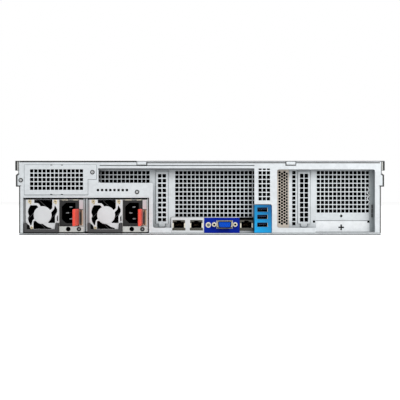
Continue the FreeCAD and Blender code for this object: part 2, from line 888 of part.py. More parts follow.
def riser_cage_left():
    """The main grille and the upper grille in one plate, with a slot between them, and its walls."""
    foot = S.board_top + S.seam
    over_usb = S.usb_high + S.seam
    top_rows = S.main_vent_rows - S.upper_vent_rows
    edge_rows = S.main_vent_rows - S.edge_vent_rows
    rear, front = layered(
        S.recess, S.sheet, lambda sketch: stepped(sketch, [
            S.cage_top, S.cage_left, S.cage_step, S.cage_step_side, foot, S.cage_port_edge,
            S.cage_port_top, S.usb_left - S.seam, over_usb, S.cage_right]),
        [lambda sketch: slot_hole(sketch, S.slot_left_middle)],
        [vents(S.upper_vent_left, S.vent_low + top_rows * S.vent_pitch_up, S.upper_vent_columns,
               S.upper_vent_rows),
         vents(S.main_vent_left + S.main_vent_columns * S.vent_pitch_across,
               S.vent_low + edge_rows * S.vent_pitch_up, 1, S.edge_vent_rows),
         vents(S.main_vent_left, S.vent_low, S.main_vent_columns, S.main_vent_rows)])
    start = S.recess + S.sheet
    walls = [block((edge, edge + S.sheet), (start, start + S.cage_depth), (low, S.cage_top))
             for edge, low in ((S.cage_left, S.cage_step), (S.cage_right - S.sheet, over_usb))]
    roof = block((S.cage_left + S.sheet, S.cage_right - S.sheet), (start, start + S.cage_depth),
                 (S.cage_top - S.sheet, S.cage_top))
    beside_usb = block((S.cage_right - S.sheet, S.cage_right),
                       (S.usb_depth + S.seam, start + S.cage_depth), (foot, over_usb))
    return node("riser_cage_left", group(rear, front, *walls, roof, beside_usb))


def slot_hole(sketch, middle):
    """The opening of one card slot."""
    half = S.slot_wide / 2
    stepped(sketch, [S.slot_low, middle + half, S.slot_high, middle - half])


def riser_cage_right():
    """The lone column of holes, a card slot and the right grille over a filler panel, and its walls."""
    foot = S.board_top + S.seam
    left = S.screen_left - S.screen_border
    rear, front = layered(
        S.recess, S.sheet, lambda sketch: stepped(sketch, [
            S.cage_top, left, foot, S.right_step, S.hem_height, S.right_cage_end]),
        [screen_window, lambda sketch: slot_hole(sketch, S.slot_right_middle), filler_marks],
        [vents(S.lone_vent_across, S.vent_low - 2 * S.vent_pitch_up, 1, S.lone_vent_rows),
         vents(S.side_vent_left, S.vent_low + S.vent_pitch_up, S.side_vent_columns,
               S.side_vent_rows)])
    pocket(rear, S.recess - S.sheet, 3 * S.sheet, lambda sketch: stepped(sketch, [
        S.filler_seam - S.filler_groove, S.filler_right, S.filler_seam, S.filler_left]))
    start = S.recess + S.sheet
    walls = [block((edge, edge + S.sheet), (start, start + S.cage_depth), (foot, S.cage_top))
             for edge in (left, S.right_cage_end - S.sheet)]
    return node("riser_cage_right", group(rear, front, *walls))


def screen_window(sketch):
    """The opening behind the gasket screen."""
    border = S.screen_border
    stepped(sketch, [S.screen_low + border, S.screen_right - border, S.cage_top - 2 * border,
                     S.screen_left + border])


def filler_marks(sketch):
    """The filler panel's notches, its cross-shaped slot and its pin hole."""
    for x in (S.filler_left - S.notch / 2, S.filler_right + S.notch / 2):
        square(sketch, x, S.filler_seam - S.notch / 2, S.notch, S.notch)
    half = S.pin_hole / 2
    middle = S.filler_middle
    polygon(sketch, [(middle, S.pin_hole_height - half), (middle + half, S.pin_hole_height),
                     (middle, S.pin_hole_height + half), (middle - half, S.pin_hole_height)])
    arm = S.cross_arm / 2
    bar = S.cross_bar / 2
    z = S.cross_height
    stepped(sketch, [z - arm, middle + bar, z - bar, middle + arm, z + bar, middle + bar,
                     z + arm, middle - bar, z + bar, middle - arm, z - bar, middle - bar])


def slot_blanks():
    """Two perforated blanks that close the empty card slots."""
    left = slot_blank(S.slot_left_middle)
    right = slot_blank(S.slot_right_middle)
    return node("slot_blanks", joined(left, right))


def slot_blank(middle):
    """A narrow plate with two columns of holes, and a tongue at its foot."""
    body = new_body("slot_blank")
    half = S.blank_width / 2
    tongue = S.tongue_width / 2
    start = S.recess - S.blank_sheet
    pad(body, start, S.blank_sheet, lambda sketch: stepped(sketch, [
        S.blank_high, middle - half, S.blank_low, middle - tongue, S.blank_low - S.tongue_drop,
        middle + tongue, S.blank_low, middle + half]))
    lattice(body, start, S.blank_sheet, middle - S.blank_pitch_across / 2, S.blank_vent_low,
            S.blank_hole, 2, S.blank_pitch_across, S.blank_rows, S.blank_pitch_up)
    return body


def vent_screen():
    """The fine copper gasket screen: short slots, staggered in two columns."""
    body = new_body("vent_screen")
    start = S.recess - S.screen_sheet
    pad(body, start, S.screen_sheet, lambda sketch: stepped(sketch, [
        S.screen_low, S.screen_right, S.cage_top - S.seam, S.screen_left]))
    slot = pocket(body, start - S.sheet, 3 * S.sheet, screen_slots)
    repeated(body, slot, 1, S.screen_pitch_across, S.screen_rows, S.screen_pitch_up)
    return node("vent_screen", body)


def screen_slots(sketch):
    """Two neighbouring slots of the staggered pattern."""
    for x, z in ((S.screen_vent_left, S.screen_vent_low),
                 (S.screen_vent_left + S.screen_pitch_across, S.screen_vent_low - S.screen_pitch_up / 2)):
        square(sketch, x, z, S.screen_slot_width, S.screen_slot_height)


# ---------------------------------------------------------------- power supplies

def supply_cage():
    """The sheet box round the two supplies, with a divider between them."""
    wall = S.cage_wall
    left = S.psu_left - S.psu_gap - wall
    right = S.psu_left + S.psu_pitch + S.psu_width + S.psu_gap
    top = S.psu_low + S.psu_height + S.psu_gap
    span = (S.sheet, S.sheet + S.psu_depth)
    low = S.psu_low - S.psu_gap
    floor = block((left, right + wall), span, (S.sheet, low))
    roof = block((left, right + wall), span, (top, top + wall))
    sides = [block((x, x + wall), span, (low, top)) for x in (left, right)]
    divider = block((S.psu_left + S.psu_width + S.psu_gap, S.psu_left + S.psu_pitch - S.psu_gap), span,
                    (low, top))
    return node("psu_cage", group(floor, roof, *sides, divider))


def supplies():
    """Two plug-in supplies. Their pieces are drawn from the lower left corner of the rear face."""
    forms = {"case": supply_case(), "fan_guard": fan_guard(), "fan_rotor": supply_rotor(),
             "inlet": power_inlet(), "latch": supply_latch(), "handle": supply_handle()}
    for number in (1, 2):
        left = S.psu_left + (number - 1) * S.psu_pitch
        for piece, form in forms.items():
            x, y, z = PIECE_ORIGINS.get(piece, (0.0, 0.0, 0.0))
            node(f"psu_{number}_{piece}", same_as(form), left + x, S.psu_inset + y, S.psu_low + z)


PIECE_ORIGINS = {
    "fan_guard": (S.fan_from_side, 0.0, S.fan_from_floor),
    "fan_rotor": (S.fan_from_side, S.rotor_inset, S.fan_from_floor),
}


def supply_case():
    """The supply's metal case: the fan well, the inlet's seat, the latch's slot and the ears."""
    body = new_body("supply_case")
    pad(body, 0.0, S.psu_depth, lambda sketch: stepped(sketch, [0.0, S.psu_width, S.psu_height, 0.0]))
    pad(body, -S.guard_sheet, S.guard_sheet, lambda sketch: stepped(sketch, [
        S.psu_gap, S.psu_width, S.sill_plate_high, S.inlet_from_side - S.psu_gap]))
    pocket(body, -S.guard_sheet, S.guard_sheet + S.well_depth, lambda sketch: rounded(
        sketch, S.fan_from_side, S.fan_from_floor, S.well_radius, LARGE_SIDES))
    pocket(body, 0.0, S.inlet_depth, lambda sketch: stepped(sketch, [
        S.inlet_from_floor, S.inlet_from_side + S.inlet_width, S.inlet_from_floor + S.inlet_height,
        S.inlet_from_side]))
    pocket(body, 0.0, S.latch_pocket, lambda sketch: stepped(sketch, [
        S.latch_from_floor + S.latch_clear, S.psu_width - S.sheet,
        S.latch_from_floor + S.latch_high - S.latch_clear, S.inlet_from_side + S.inlet_width]))
    pocket(body, -2 * S.guard_sheet, 2 * S.guard_sheet + S.well_depth, lambda sketch: rounded(
        sketch, S.lock_hole_from_side, S.lock_hole_height, S.lock_hole_radius, SMALL_SIDES))
    return body


def fan_guard():
    """The pinwheel guard: a disc, four bent arms, and the strips, plates and tabs that they end in."""
    body = new_body("fan_guard")
    half = S.guard_half
    face = -S.guard_sheet
    pad(body, face, S.guard_sheet, lambda sketch: rounded(sketch, 0.0, 0.0, S.guard_disc, LARGE_SIDES))
    arm = pad(body, face, S.guard_sheet, guard_arm)
    wheel = body.newObject("PartDesign::PolarPattern", "wheel")
    wheel.Originals = [arm]
    wheel.Axis = (arm.Profile[0], ["N_Axis"])
    wheel.Occurrences = 4
    body.Tip = wheel
    for side in (-1, 1):
        strip = side_span(side, half - S.guard_strip, half)
        plate = side_span(side, half - S.guard_plate, half)
        tab = side_span(side, S.arm_side - S.arm_width, S.arm_side - S.arm_width + S.guard_tab)
        pad(body, face, S.guard_sheet, lambda sketch: stepped(sketch, [
            -S.guard_strip_drop, strip[1], half, strip[0]]))
        pad(body, face, S.guard_sheet, lambda sketch: stepped(sketch, [
            half - S.guard_plate_height, plate[1], half, plate[0]]))
        pad(body, face, S.guard_sheet, lambda sketch: stepped(sketch, [
            -S.guard_tab_drop, tab[1], S.arm_width - S.arm_tip_high, tab[0]]))
    return body


def guard_arm(sketch):
    """One arm: it leaves the disc on a slant and turns up beside it."""
    inside = S.arm_side - S.arm_width
    polygon(sketch, [(S.arm_root_out, S.arm_root_low), (S.arm_side, S.arm_bend_low),
                     (S.arm_side, S.arm_tip_high), (inside, S.arm_tip_high),
                     (inside, S.arm_bend_high), (S.arm_root_in, S.arm_root_high)])


def rotor(hub, tip, length, blade_width):
    """A fan rotor about the origin: a hub, and pitched blades in a ring."""
    body = new_body("rotor")
    pad(body, 0.0, length, lambda sketch: rounded(sketch, 0.0, 0.0, hub, LARGE_SIDES))
    pitch = math.radians(SIZES["blade_pitch"])
    reach = (blade_width / 2 * math.cos(pitch), blade_width / 2 * math.sin(pitch))
    half = S.blade_sheet / 2
    middle = length / 2
    root = hub - S.blade_seat
    blade = pad(body, root, tip - root, lambda sketch: polygon(sketch, [
        (middle - reach[0], -reach[1] - half), (middle + reach[0], reach[1] - half),
        (middle + reach[0], reach[1] + half), (middle - reach[0], -reach[1] + half)]), across=True)
    ring = body.newObject("PartDesign::PolarPattern", "ring")
    ring.Originals = [blade]
    ring.Axis = ([item for item in body.Origin.OriginFeatures if item.Role == "Y_Axis"][0], [""])
    bind(ring, "Occurrences", S.blade_count)
    body.Tip = ring
    return body


def supply_rotor():
    """The supply's fan: its hub stands just off the bottom of the well."""
    return rotor(S.psu_hub, S.psu_blade_tip, S.well_depth - S.psu_gap - S.rotor_inset, S.psu_blade_width)


def power_inlet():
    """The mains inlet: a chamfered socket with three upright blades, earth to the left."""
    body = new_body("power_inlet")
    left = S.inlet_from_side
    low = S.inlet_from_floor
    pad(body, -S.guard_sheet / 2, S.inlet_depth + S.guard_sheet / 2, lambda sketch: stepped(sketch, [
        low, left + S.inlet_width, low + S.inlet_height, left]))
    pocket(body, -S.guard_sheet, S.socket_depth + S.guard_sheet, socket_outline)
    pad(body, S.socket_inset, S.inlet_depth - S.socket_inset, socket_blades)
    return body


def socket_middle():
    """The middle of the socket's mouth, seen from behind."""
    return (S.inlet_from_side + S.socket_inset + S.socket_width / 2,
            S.inlet_from_floor + S.inlet_height / 2)


def socket_outline(sketch):
    """The mouth: two corners on the earth side are cut off."""
    x, z = socket_middle()
    wide = S.socket_width / 2
    tall = S.socket_height / 2
    nip = S.socket_chamfer
    polygon(sketch, [(x - wide + nip, z - tall), (x + wide, z - tall), (x + wide, z + tall),
                     (x - wide + nip, z + tall), (x - wide, z + tall - nip), (x - wide, z - tall + nip)])


def socket_blades(sketch):
    """Earth on the left in the middle, and a blade above and below it to the right."""
    x, z = socket_middle()
    step = S.socket_width / 8
    for across, up in ((-step, 0.0), (step, S.blade_pin_spread), (step, -S.blade_pin_spread)):
        square(sketch, x + across, z + up, S.blade_pin_height, S.blade_pin_width)


def supply_latch():
    """The release tab: a tall tab outside, on a stem that reaches into the case."""
    high = S.latch_from_floor + S.latch_high
    tab = new_body("latch_tab")
    reach = S.latch_reach + S.psu_inset
    pad(tab, -reach, reach - S.latch_gap, lambda sketch: stepped(sketch, [
        S.latch_from_floor, S.latch_edge, high, S.latch_edge - S.latch_width],
        {0: S.latch_stem, 3: S.latch_stem}))
    stem = S.latch_edge + S.latch_stem
    foot = block((S.latch_edge - S.latch_stem, stem), (-S.latch_gap - S.latch_stem, -S.latch_gap),
                 (S.latch_from_floor + 2 * S.latch_clear, high - 2 * S.latch_clear))
    arm = block((stem - S.latch_stem, stem), (-S.latch_gap - S.latch_stem, S.latch_pocket - S.psu_gap),
                (S.latch_from_floor + 2 * S.latch_clear, high - 2 * S.latch_clear))
    return joined(tab, foot, arm)


def supply_handle():
    """The bail handle, folded down along the foot of the fan."""
    body = new_body("bail")
    left = S.psu_gap
    right = left + S.bail_width
    arm = S.bail_arm
    face = -S.guard_sheet - S.bail_gap - S.bail_thickness
    pad(body, face, S.bail_thickness, lambda sketch: stepped(sketch, [
        S.psu_gap, right, S.bail_rise, right - arm, S.psu_gap + S.bail_bar, left + arm,
        S.bail_rise, left]))
    return body


# ---------------------------------------------------------------- ports on the rear

def jack(middle):
    """A network jack with its keyed mouth."""
    half = S.jack_width / 2
    face = S.port_face - S.psu_gap
    shell = block((middle - half, middle + half), (face, face + S.jack_depth),
                  (S.board_top, S.board_top + S.jack_height))
    front = face - S.sheet
    back = face + S.jack_mouth_depth
    low = S.board_top + S.jack_mouth_low
    high = low + S.jack_mouth_height
    wide = S.jack_mouth_width / 2
    key = S.jack_key_width / 2
    mouth = block((middle - wide, middle + wide), (front, back), (low, high))
    slot = block((middle - key, middle + key), (front, back), (high, high + S.jack_key_height))
    return cut(shell, mouth, slot)


def network_jacks():
    return node("network_jacks", joined(*[jack(x) for x in (S.jack_first, S.jack_second, S.jack_third)]))


def port_cutouts(sketch):
    """The openings for jacks, display connector, its two screws and the button."""
    up = S.board_top + S.jack_height / 2
    for x in (S.jack_first, S.jack_second, S.jack_third):
        square(sketch, x, up, S.jack_width + 2 * S.seam, S.jack_height + 2 * S.seam)
    display_cutouts(sketch)


def display_cutouts(sketch):
    """The openings for the display connector's shell and screws, and for the button."""
    square(sketch, S.display_middle, S.display_height, S.display_width + 2 * S.seam,
           S.display_shell_height + 2 * S.seam)
    screw = 2 * S.display_screw_size + S.seam
    for side in (-1, 1):
        x = S.display_middle + side * S.display_screw_spread / 2
        square(sketch, x, S.display_height, screw, screw)
    rounded(sketch, S.button_across, S.button_height, S.button_radius + S.button_fit, BUTTON_SIDES)


def io_shield():
    """The thin plate behind the port labels, standing on the floor."""
    body = new_body("io_shield")
    pad(body, S.port_face, S.shield_sheet, lambda sketch: stepped(sketch, [
        S.sheet, S.usb_left - S.seam, S.cage_port_top, S.white_left - S.seam]))
    pocket(body, S.port_face - S.sheet, 3 * S.sheet, port_cutouts)
    return node("io_shield", body)


def port_labels():
    """The plastic labels: a plain one round two jacks, and one round the display connector."""
    plain = new_body("plain_label")
    start = S.port_face - S.label_sheet
    pad(plain, start, S.label_sheet, lambda sketch: stepped(sketch, [
        S.label_low, S.blue_left - S.seam, S.cage_port_top, S.white_left]))
    pocket(plain, start - S.sheet, 3 * S.sheet, lambda sketch: [square(
        sketch, x, S.board_top + S.jack_height / 2, S.jack_width + 2 * S.seam, S.jack_height + 2 * S.seam)
        for x in (S.jack_first, S.jack_second)])
    coloured = new_body("coloured_label")
    pad(coloured, start, S.label_sheet, lambda sketch: stepped(sketch, [
        S.label_low, S.blue_right, S.label_high, S.blue_left]))
    pad(coloured, start - S.button_ring_reach, S.button_ring_reach, lambda sketch: rounded(
        sketch, S.button_across, S.button_height, S.button_ring, BUTTON_SIDES))
    pocket(coloured, start - 2 * S.sheet, 4 * S.sheet, display_cutouts)
    return node("port_labels", joined(plain, coloured))


def vga_connector():
    """The display connector: a tapered shell round its insert, a flange and two hexagonal screws."""
    body = new_body("display_shell")
    front = S.port_face - S.display_reach
    flange = S.port_face + S.shield_sheet
    pad(body, flange, S.display_back, lambda sketch: square(
        sketch, S.display_middle, S.display_height, S.display_screw_spread + 2 * S.display_screw_size,
        S.display_flange_height))
    pad(body, front, S.display_reach + S.shield_sheet, lambda sketch: tapered_shell(sketch, 0.0))
    pocket(body, front, S.display_wall, lambda sketch: tapered_shell(sketch, S.display_wall))
    screws = [prism("y", (S.display_middle + side * S.display_screw_spread / 2, front + S.display_wall,
                          S.display_height), S.display_reach + S.shield_sheet - S.display_wall,
                    S.display_screw_size, 6) for side in (-1, 1)]
    return node("vga_connector", joined(body, *screws))


def tapered_shell(sketch, inset):
    """The D-shaped outline of the shell, wider at the top."""
    x = S.display_middle
    top = S.display_height + S.display_shell_height / 2 - inset
    low = S.display_height - S.display_shell_height / 2 + inset
    wide = S.display_width / 2 - inset
    narrow = wide - S.display_taper
    polygon(sketch, [(x - narrow, low), (x + narrow, low), (x + wide, top), (x - wide, top)])


def usb_stack():
    """Three upright-stacked USB sockets in one moulding, standing on the board."""
    body = new_body("usb_stack")
    front = S.board_rear - S.seam
    middle = S.usb_slot_left + S.usb_slot_width / 2
    levels = (S.usb_slot_low, S.usb_slot_middle, S.usb_slot_high)
    pad(body, S.usb_inset, front - S.usb_inset, lambda sketch: stepped(sketch, [
        S.usb_low, S.usb_right, S.usb_high, S.usb_left], {1: S.corner_radius}))
    pad(body, front, S.usb_depth - front, lambda sketch: stepped(sketch, [
        S.board_top, S.usb_right, S.usb_high, S.usb_left]))
    pocket(body, 0.0, S.usb_slot_depth, lambda sketch: [
        square(sketch, middle, z, S.usb_slot_width, S.usb_slot_height) for z in levels])
    pad(body, 2 * S.sheet, S.usb_slot_depth, lambda sketch: [
        square(sketch, middle, z + S.usb_tongue / 2, S.usb_slot_width - 2 * S.sheet, S.usb_tongue)
        for z in levels])
    return node("usb_stack", body)


def uid_button():
    """The small round button in its ring."""
    face = S.port_face - S.label_sheet - S.button_ring_reach - S.button_reach
    button = prism("y", (0.0, 0.0, 0.0), S.button_length, S.button_radius, BUTTON_SIDES)
    return node("uid_button", button, S.button_across, face, S.button_height)


def panel_screws():
    """The screws of the cover plate, the rear wall and the left lug."""
    spots = ((S.bay_screw_across, -S.bay_sheet, S.bay_screw_height),
             (S.wall_screw_across, 0.0, S.wall_screw_height),
             (S.lug_screw_across, 0.0, S.lug_screw_height))
    heads = [prism("y", (x, face - S.screw_head, z), S.screw_head, S.screw_radius, SMALL_SIDES)
             for x, face, z in spots]
    return node("panel_screws", joined(*heads))


# ---------------------------------------------------------------- inside

def motherboard():
    """The board, stepped round the supplies, on its standoffs."""
    under = S.board_top - S.board_sheet
    step = S.board_step
    right = INNER - S.board_side_gap
    inset = S.standoff_inset
    ports = S.screen_left - S.screen_border - S.seam
    rear = block((S.board_left, ports), (S.board_rear, step), (under, S.board_top))
    middle = block((ports, right), (S.recess + S.sheet + S.seam, step), (under, S.board_top))
    front = block((-right, right), (step, S.board_front), (under, S.board_top))
    spots = [(side * (right - inset), y) for side in (-1, 1) for y in (step + inset, S.board_front - inset)]
    spots += [(right - inset, 2 * inset), (S.board_left + inset, 3 * inset)]
    posts = [prism("z", (x, y, S.sheet), under - S.sheet, S.standoff_radius, SMALL_SIDES) for x, y in spots]
    return node("motherboard", joined(rear, middle, front, *posts))


def heat_sink(middle):
    """A finned block over one processor."""
    body = new_body("heat_sink")
    half = S.sink_size / 2
    pad(body, S.sink_rear, S.sink_size, lambda sketch: stepped(sketch, [
        S.board_top, middle + half, S.board_top + S.sink_base, middle - half]))
    edge = middle - half
    fin = pad(body, S.sink_rear, S.sink_size, lambda sketch: stepped(sketch, [
        S.board_top + S.sink_base, edge + S.fin_sheet, S.board_top + S.sink_height, edge]))
    repeated(body, fin, S.fin_count, (S.sink_size - S.fin_sheet) / (S.fin_count - 1))
    return body


def heat_sinks():
    return node("heat_sinks", joined(*[heat_sink(side * S.sink_spread) for side in (-1, 1)]))


def memory_modules():
    """Four banks of memory, on both sides of each heat sink."""
    bank = (S.memory_bank - 1) * S.memory_pitch / 2
    start = S.sink_rear + (S.sink_size - S.memory_length) / 2
    reach = S.sink_size / 2 + S.memory_pitch + bank
    sticks = []
    for sink in (-S.sink_spread, S.sink_spread):
        for side in (-1, 1):
            for n in range(SIZES["memory_bank"]):
                x = sink + side * reach - bank + n * S.memory_pitch
                sticks.append(block((x - S.memory_sheet / 2, x + S.memory_sheet / 2),
                                    (start, start + S.memory_length),
                                    (S.board_top, S.board_top + S.memory_height)))
    return node("memory_modules", joined(*sticks))


def air_shroud():
    """The plastic duct from the fans over the heat sinks."""
    body = new_body("air_shroud")
    half = S.shroud_half
    wall = S.shroud_sheet
    pad(body, S.shroud_rear, S.shroud_front - S.shroud_rear, lambda sketch: stepped(sketch, [
        S.board_top, half, S.shroud_top, -half, S.board_top, wall - half, S.shroud_top - wall,
        half - wall]))
    return node("air_shroud", body)


def fan_places():
    """The middle of each system fan, left to right."""
    return [(n - (SIZES["fan_count"] - 1) / 2) * S.fan_pitch for n in range(SIZES["fan_count"])]


def fan_frames():
    """The bank of fan frames across the chassis, with a spoked motor plate in each bore."""
    body = new_body("fan_frames")
    centre = S.sheet + S.fan_size / 2
    pad(body, S.fan_rear, S.fan_deep, fan_wall)
    for x in fan_places():
        spoke = S.fan_spoke / 2
        reach = S.fan_bore + S.seam
        pad(body, S.fan_rear, S.fan_spoke, lambda sketch: stepped(sketch, [
            centre - spoke, x + reach, centre + spoke, x - reach]))
        pad(body, S.fan_rear, S.fan_spoke, lambda sketch: stepped(sketch, [
            centre - reach, x + spoke, centre + reach, x - spoke]))
    return node("fan_frames", body)


def fan_wall(sketch):
    """The frames' common wall, with a bore for each fan."""
    centre = S.sheet + S.fan_size / 2
    half = (S.fan_count - 1) * S.fan_pitch / 2 + S.fan_size / 2
    stepped(sketch, [S.sheet, half, S.sheet + S.fan_size, -half])
    for x in fan_places():
        rounded(sketch, x, centre, S.fan_bore, LARGE_SIDES)


def system_rotors():
    start = S.fan_rear + S.fan_spoke + S.seam
    length = S.fan_deep - S.fan_spoke - 2 * S.seam
    form = rotor(S.fan_hub, S.fan_tip, length, S.fan_blade_width)
    for n, x in enumerate(fan_places(), start=1):
        node(f"fan_rotor_{n}", same_as(form), x, start, S.sheet + S.fan_size / 2)


# ---------------------------------------------------------------- front end

def drive_cage():
    """The shelves and uprights round the drives, and the ventilated fascia above them."""
    half = S.drive_columns * S.drive_pitch_across / 2 + S.sheet / 2
    rows = SIZES["drive_rows"]
    thick = 2 * S.sheet
    shelves = [block((-half, half), (S.cage_rear, S.body_depth - (thick if row == rows else 0.0)),
                     (cell_low(row), cell_low(row) + S.sheet)) for row in range(rows + 1)]
    uprights = []
    for row in range(rows):
        for column in range(SIZES["drive_columns"] + 1):
            x = cell_middle(column) - S.drive_pitch_across / 2
            uprights.append(block((x - S.sheet / 2, x + S.sheet / 2), (S.cage_rear, S.body_depth),
                                  (cell_low(row) + S.sheet, cell_low(row + 1))))
    return node("drive_cage", group(*shelves, *uprights, front_fascia(thick)))


def front_fascia(thick):
    """The front strip over the drives, with air slots and the power button's hole."""
    body = new_body("front_fascia")
    pad(body, S.body_depth - thick, thick, lambda sketch: stepped(sketch, [
        cell_low(SIZES["drive_rows"]), INNER - S.seam, ROOF, -INNER + S.seam]))
    slot = pocket(body, S.body_depth - 2 * thick, 3 * thick, lambda sketch: square(
        sketch, -S.strip_slot_pitch * (S.strip_slots - 1) / 2, S.strip_middle, S.strip_slot_width,
        S.strip_slot_height))
    repeated(body, slot, S.strip_slots, S.strip_slot_pitch)
    pocket(body, S.body_depth - 2 * thick, 3 * thick, lambda sketch: rounded(
        sketch, S.power_across, S.power_height, S.power_radius + S.button_fit, BUTTON_SIDES))
    return body


def cell_low(row):
    """The underside of the shelf below a row of drives."""
    return S.sheet + row * S.drive_pitch_up


def cell_middle(column):
    """The middle of a column of drives, across the server."""
    return (column - (SIZES["drive_columns"] - 1) / 2) * S.drive_pitch_across


def backplane():
    """The board behind the drives, with openings for air."""
    half = (S.drive_columns * S.drive_pitch_across) / 2
    low = S.sheet + S.seam
    board = block((-half, half), (S.cage_rear - S.backplane_sheet, S.cage_rear),
                  (low, cell_low(SIZES["drive_rows"])))
    holes = [block((cell_middle(column) - S.strip_slot_pitch, cell_middle(column) + S.strip_slot_pitch),
                   (S.cage_rear - 2 * S.backplane_sheet, S.cage_rear + S.backplane_sheet),
                   (cell_low(row) + S.drive_pitch_up / 3, cell_low(row) + S.drive_pitch_up * 2 / 3))
             for column in range(SIZES["drive_columns"]) for row in range(SIZES["drive_rows"])]
    return node("backplane", cut(board, *holes))


def drive_carriers():
    """The carriers with their drives, each with its lever. They are drawn from their own foot."""
    carrier = drive_carrier()
    lever = carrier_lever()
    number = 0
    for row in range(SIZES["drive_rows"]):
        for column in range(SIZES["drive_columns"]):
            number += 1
            where = (cell_middle(column), S.body_depth, cell_low(row) + S.sheet + S.drive_gap / 2)
            node(f"drive_carrier_{number}", same_as(carrier), *where)
            node(f"carrier_lever_{number}", same_as(lever), *where)


def lever_low():
    """The underside of a carrier's lever recess."""
    return S.lever_offset - S.seam


def drive_carrier():
    """The drive on its tray, behind a bezel with a lever recess and air slots."""
    body = new_body("drive_carrier")
    half = (S.drive_pitch_across - S.sheet) / 2 - S.drive_gap
    high = S.drive_pitch_up - S.sheet - S.drive_gap
    rail = half - S.carrier_rail
    pad(body, -S.carrier_depth, S.carrier_depth - S.bezel_depth, lambda sketch: stepped(sketch, [
        0.0, half, S.drive_height / 2, rail, S.drive_height, -rail, S.drive_height / 2, -half]))
    pad(body, -S.bezel_depth, S.bezel_depth, lambda sketch: stepped(sketch, [0.0, half, high, -half]))
    recess = S.lever_depth + 2 * S.lever_pin
    reach = S.lever_length / 2 + 2 * S.lever_pin
    pocket(body, -recess, 2 * recess, lambda sketch: stepped(sketch, [
        lever_low(), reach, lever_low() + S.lever_height + 2 * S.seam, -reach]))
    slot = pocket(body, -S.lever_depth, 2 * S.lever_depth, lambda sketch: square(
        sketch, -S.strip_slot_pitch * (S.slot_count - 1) / 2, high - S.slot_height,
        S.strip_slot_width, S.slot_height))
    repeated(body, slot, S.slot_count, S.strip_slot_pitch)
    return body


def carrier_lever():
    """The lever that draws the carrier out, hinged at its left end."""
    half = S.lever_length / 2
    bar = block((-half, half), (-S.lever_depth - S.seam, -S.seam),
                (S.lever_offset, S.lever_offset + S.lever_height))
    grip = block((half - S.strip_slot_width, half - S.lever_offset), (-S.lever_depth + S.sheet, S.sheet),
                 (S.lever_offset + S.sheet, S.lever_offset + S.lever_height - S.sheet))
    return cut(bar, grip)


def power_button():
    """The power button in the strip above the drives."""
    button = prism("y", (0.0, 0.0, 0.0), S.button_length, S.power_radius, BUTTON_SIDES)
    rear = S.body_depth + S.button_reach - S.button_length
    return node("power_button", button, S.power_across, rear, S.power_height)


def rack_ears():
    """The two ears that hold the server in its rack, each with slots and a grip."""
    return node("rack_ears", joined(rack_ear(-1), rack_ear(1)))


def rack_ear(side):
    """An ear: a front plate with two slots, a wrap on the side wall, and a grip."""
    body = new_body("rack_ear")
    margin = S.ear_sheet / 4
    outer = side_span(side, HALF, S.rack_width / 2)
    pad(body, S.body_depth - S.ear_sheet, S.ear_sheet, lambda sketch: stepped(sketch, [
        margin, outer[1], S.body_height - margin, outer[0]]))
    wrap = side_span(side, HALF, HALF + S.ear_sheet / 2)
    pad(body, S.body_depth - S.ear_wrap, S.ear_wrap - S.ear_sheet, lambda sketch: stepped(sketch, [
        S.ear_sheet, wrap[1], S.body_height - S.cover_drop - S.ear_sheet, wrap[0]]))
    grip_low = (S.body_height - S.grip_height) / 2
    grip_high = grip_low + S.grip_height
    front = S.body_depth + S.grip_reach
    middle = side * (HALF + S.grip_width)
    pad(body, middle - S.grip_width / 2, S.grip_width, lambda sketch: stepped(sketch, [
        grip_low, front, grip_high, S.body_depth, grip_high - S.grip_bar, front - S.grip_bar,
        grip_low + S.grip_bar, S.body_depth],
        {0: S.grip_bar / 2, 1: S.grip_bar / 2}), across=True)
    pocket(body, S.body_depth - 2 * S.ear_sheet, 3 * S.ear_sheet, lambda sketch: [
        slot_outline(sketch, side * S.ear_hole_spread / 2, S.body_height / 2 + up * S.ear_hole_rise / 2)
        for up in (-1, 1)])
    return body


def slot_outline(sketch, x, z):
    """A level slot with round ends, joined by a short flat side."""
    radius = S.ear_hole_half
    wide = S.ear_slot_length / 2
    round_ends = {n: S.ear_slot_round for n in range(4)}
    stepped(sketch, [z - radius, x + wide, z + radius, x - wide], round_ends)


def rail_studs():
    """Shoulder studs on both side walls, which drop into the rack's slide rails."""
    studs = [rod("x", (x, S.stud_first + n * S.stud_pitch, S.stud_height), S.stud_reach, S.stud_radius)
             for x in (HALF, -HALF - S.stud_reach) for n in range(SIZES["stud_count"])]
    return node("rail_studs", joined(*studs))


# ---------------------------------------------------------------- the whole server

def build():
    """Make every piece, check it, and write it to its own file."""
    for make in (chassis_tray, rear_panel, rear_bay_cover, top_cover, cover_latch, front_cover,
                 riser_cage_left, riser_cage_right, slot_blanks, vent_screen, supply_cage, supplies,
                 network_jacks, io_shield, port_labels, vga_connector, usb_stack, uid_button,
                 panel_screws, motherboard, heat_sinks, memory_modules, air_shroud, fan_frames,
                 system_rotors, drive_cage, backplane, drive_carriers, power_button, rack_ears,
                 rail_studs):
        make()
    DOC.recompute()
    check()
    os.makedirs("parts", exist_ok=True)
    for item in NODES:
        item.Shape.exportStep(f"parts/{item.Label}.step")


def check():
    """Stop if any object failed, or if a piece is empty, invalid or shares its name."""
    for item in DOC.Objects:
        if any(word in state for state in item.State for word in ("Invalid", "Error")):
            raise SystemExit(f"{item.Label} failed: {item.State}")
    for item in NODES:
        if item.Shape.isNull() or not item.Shape.isValid() or not item.Shape.Solids:
            raise SystemExit(f"{item.Label} has no valid solid")
    if len({item.Label for item in NODES}) != len(NODES):
        raise SystemExit("two pieces share a name")


build()
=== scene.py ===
import math
import random

import bpy
from mathutils import Matrix, Vector


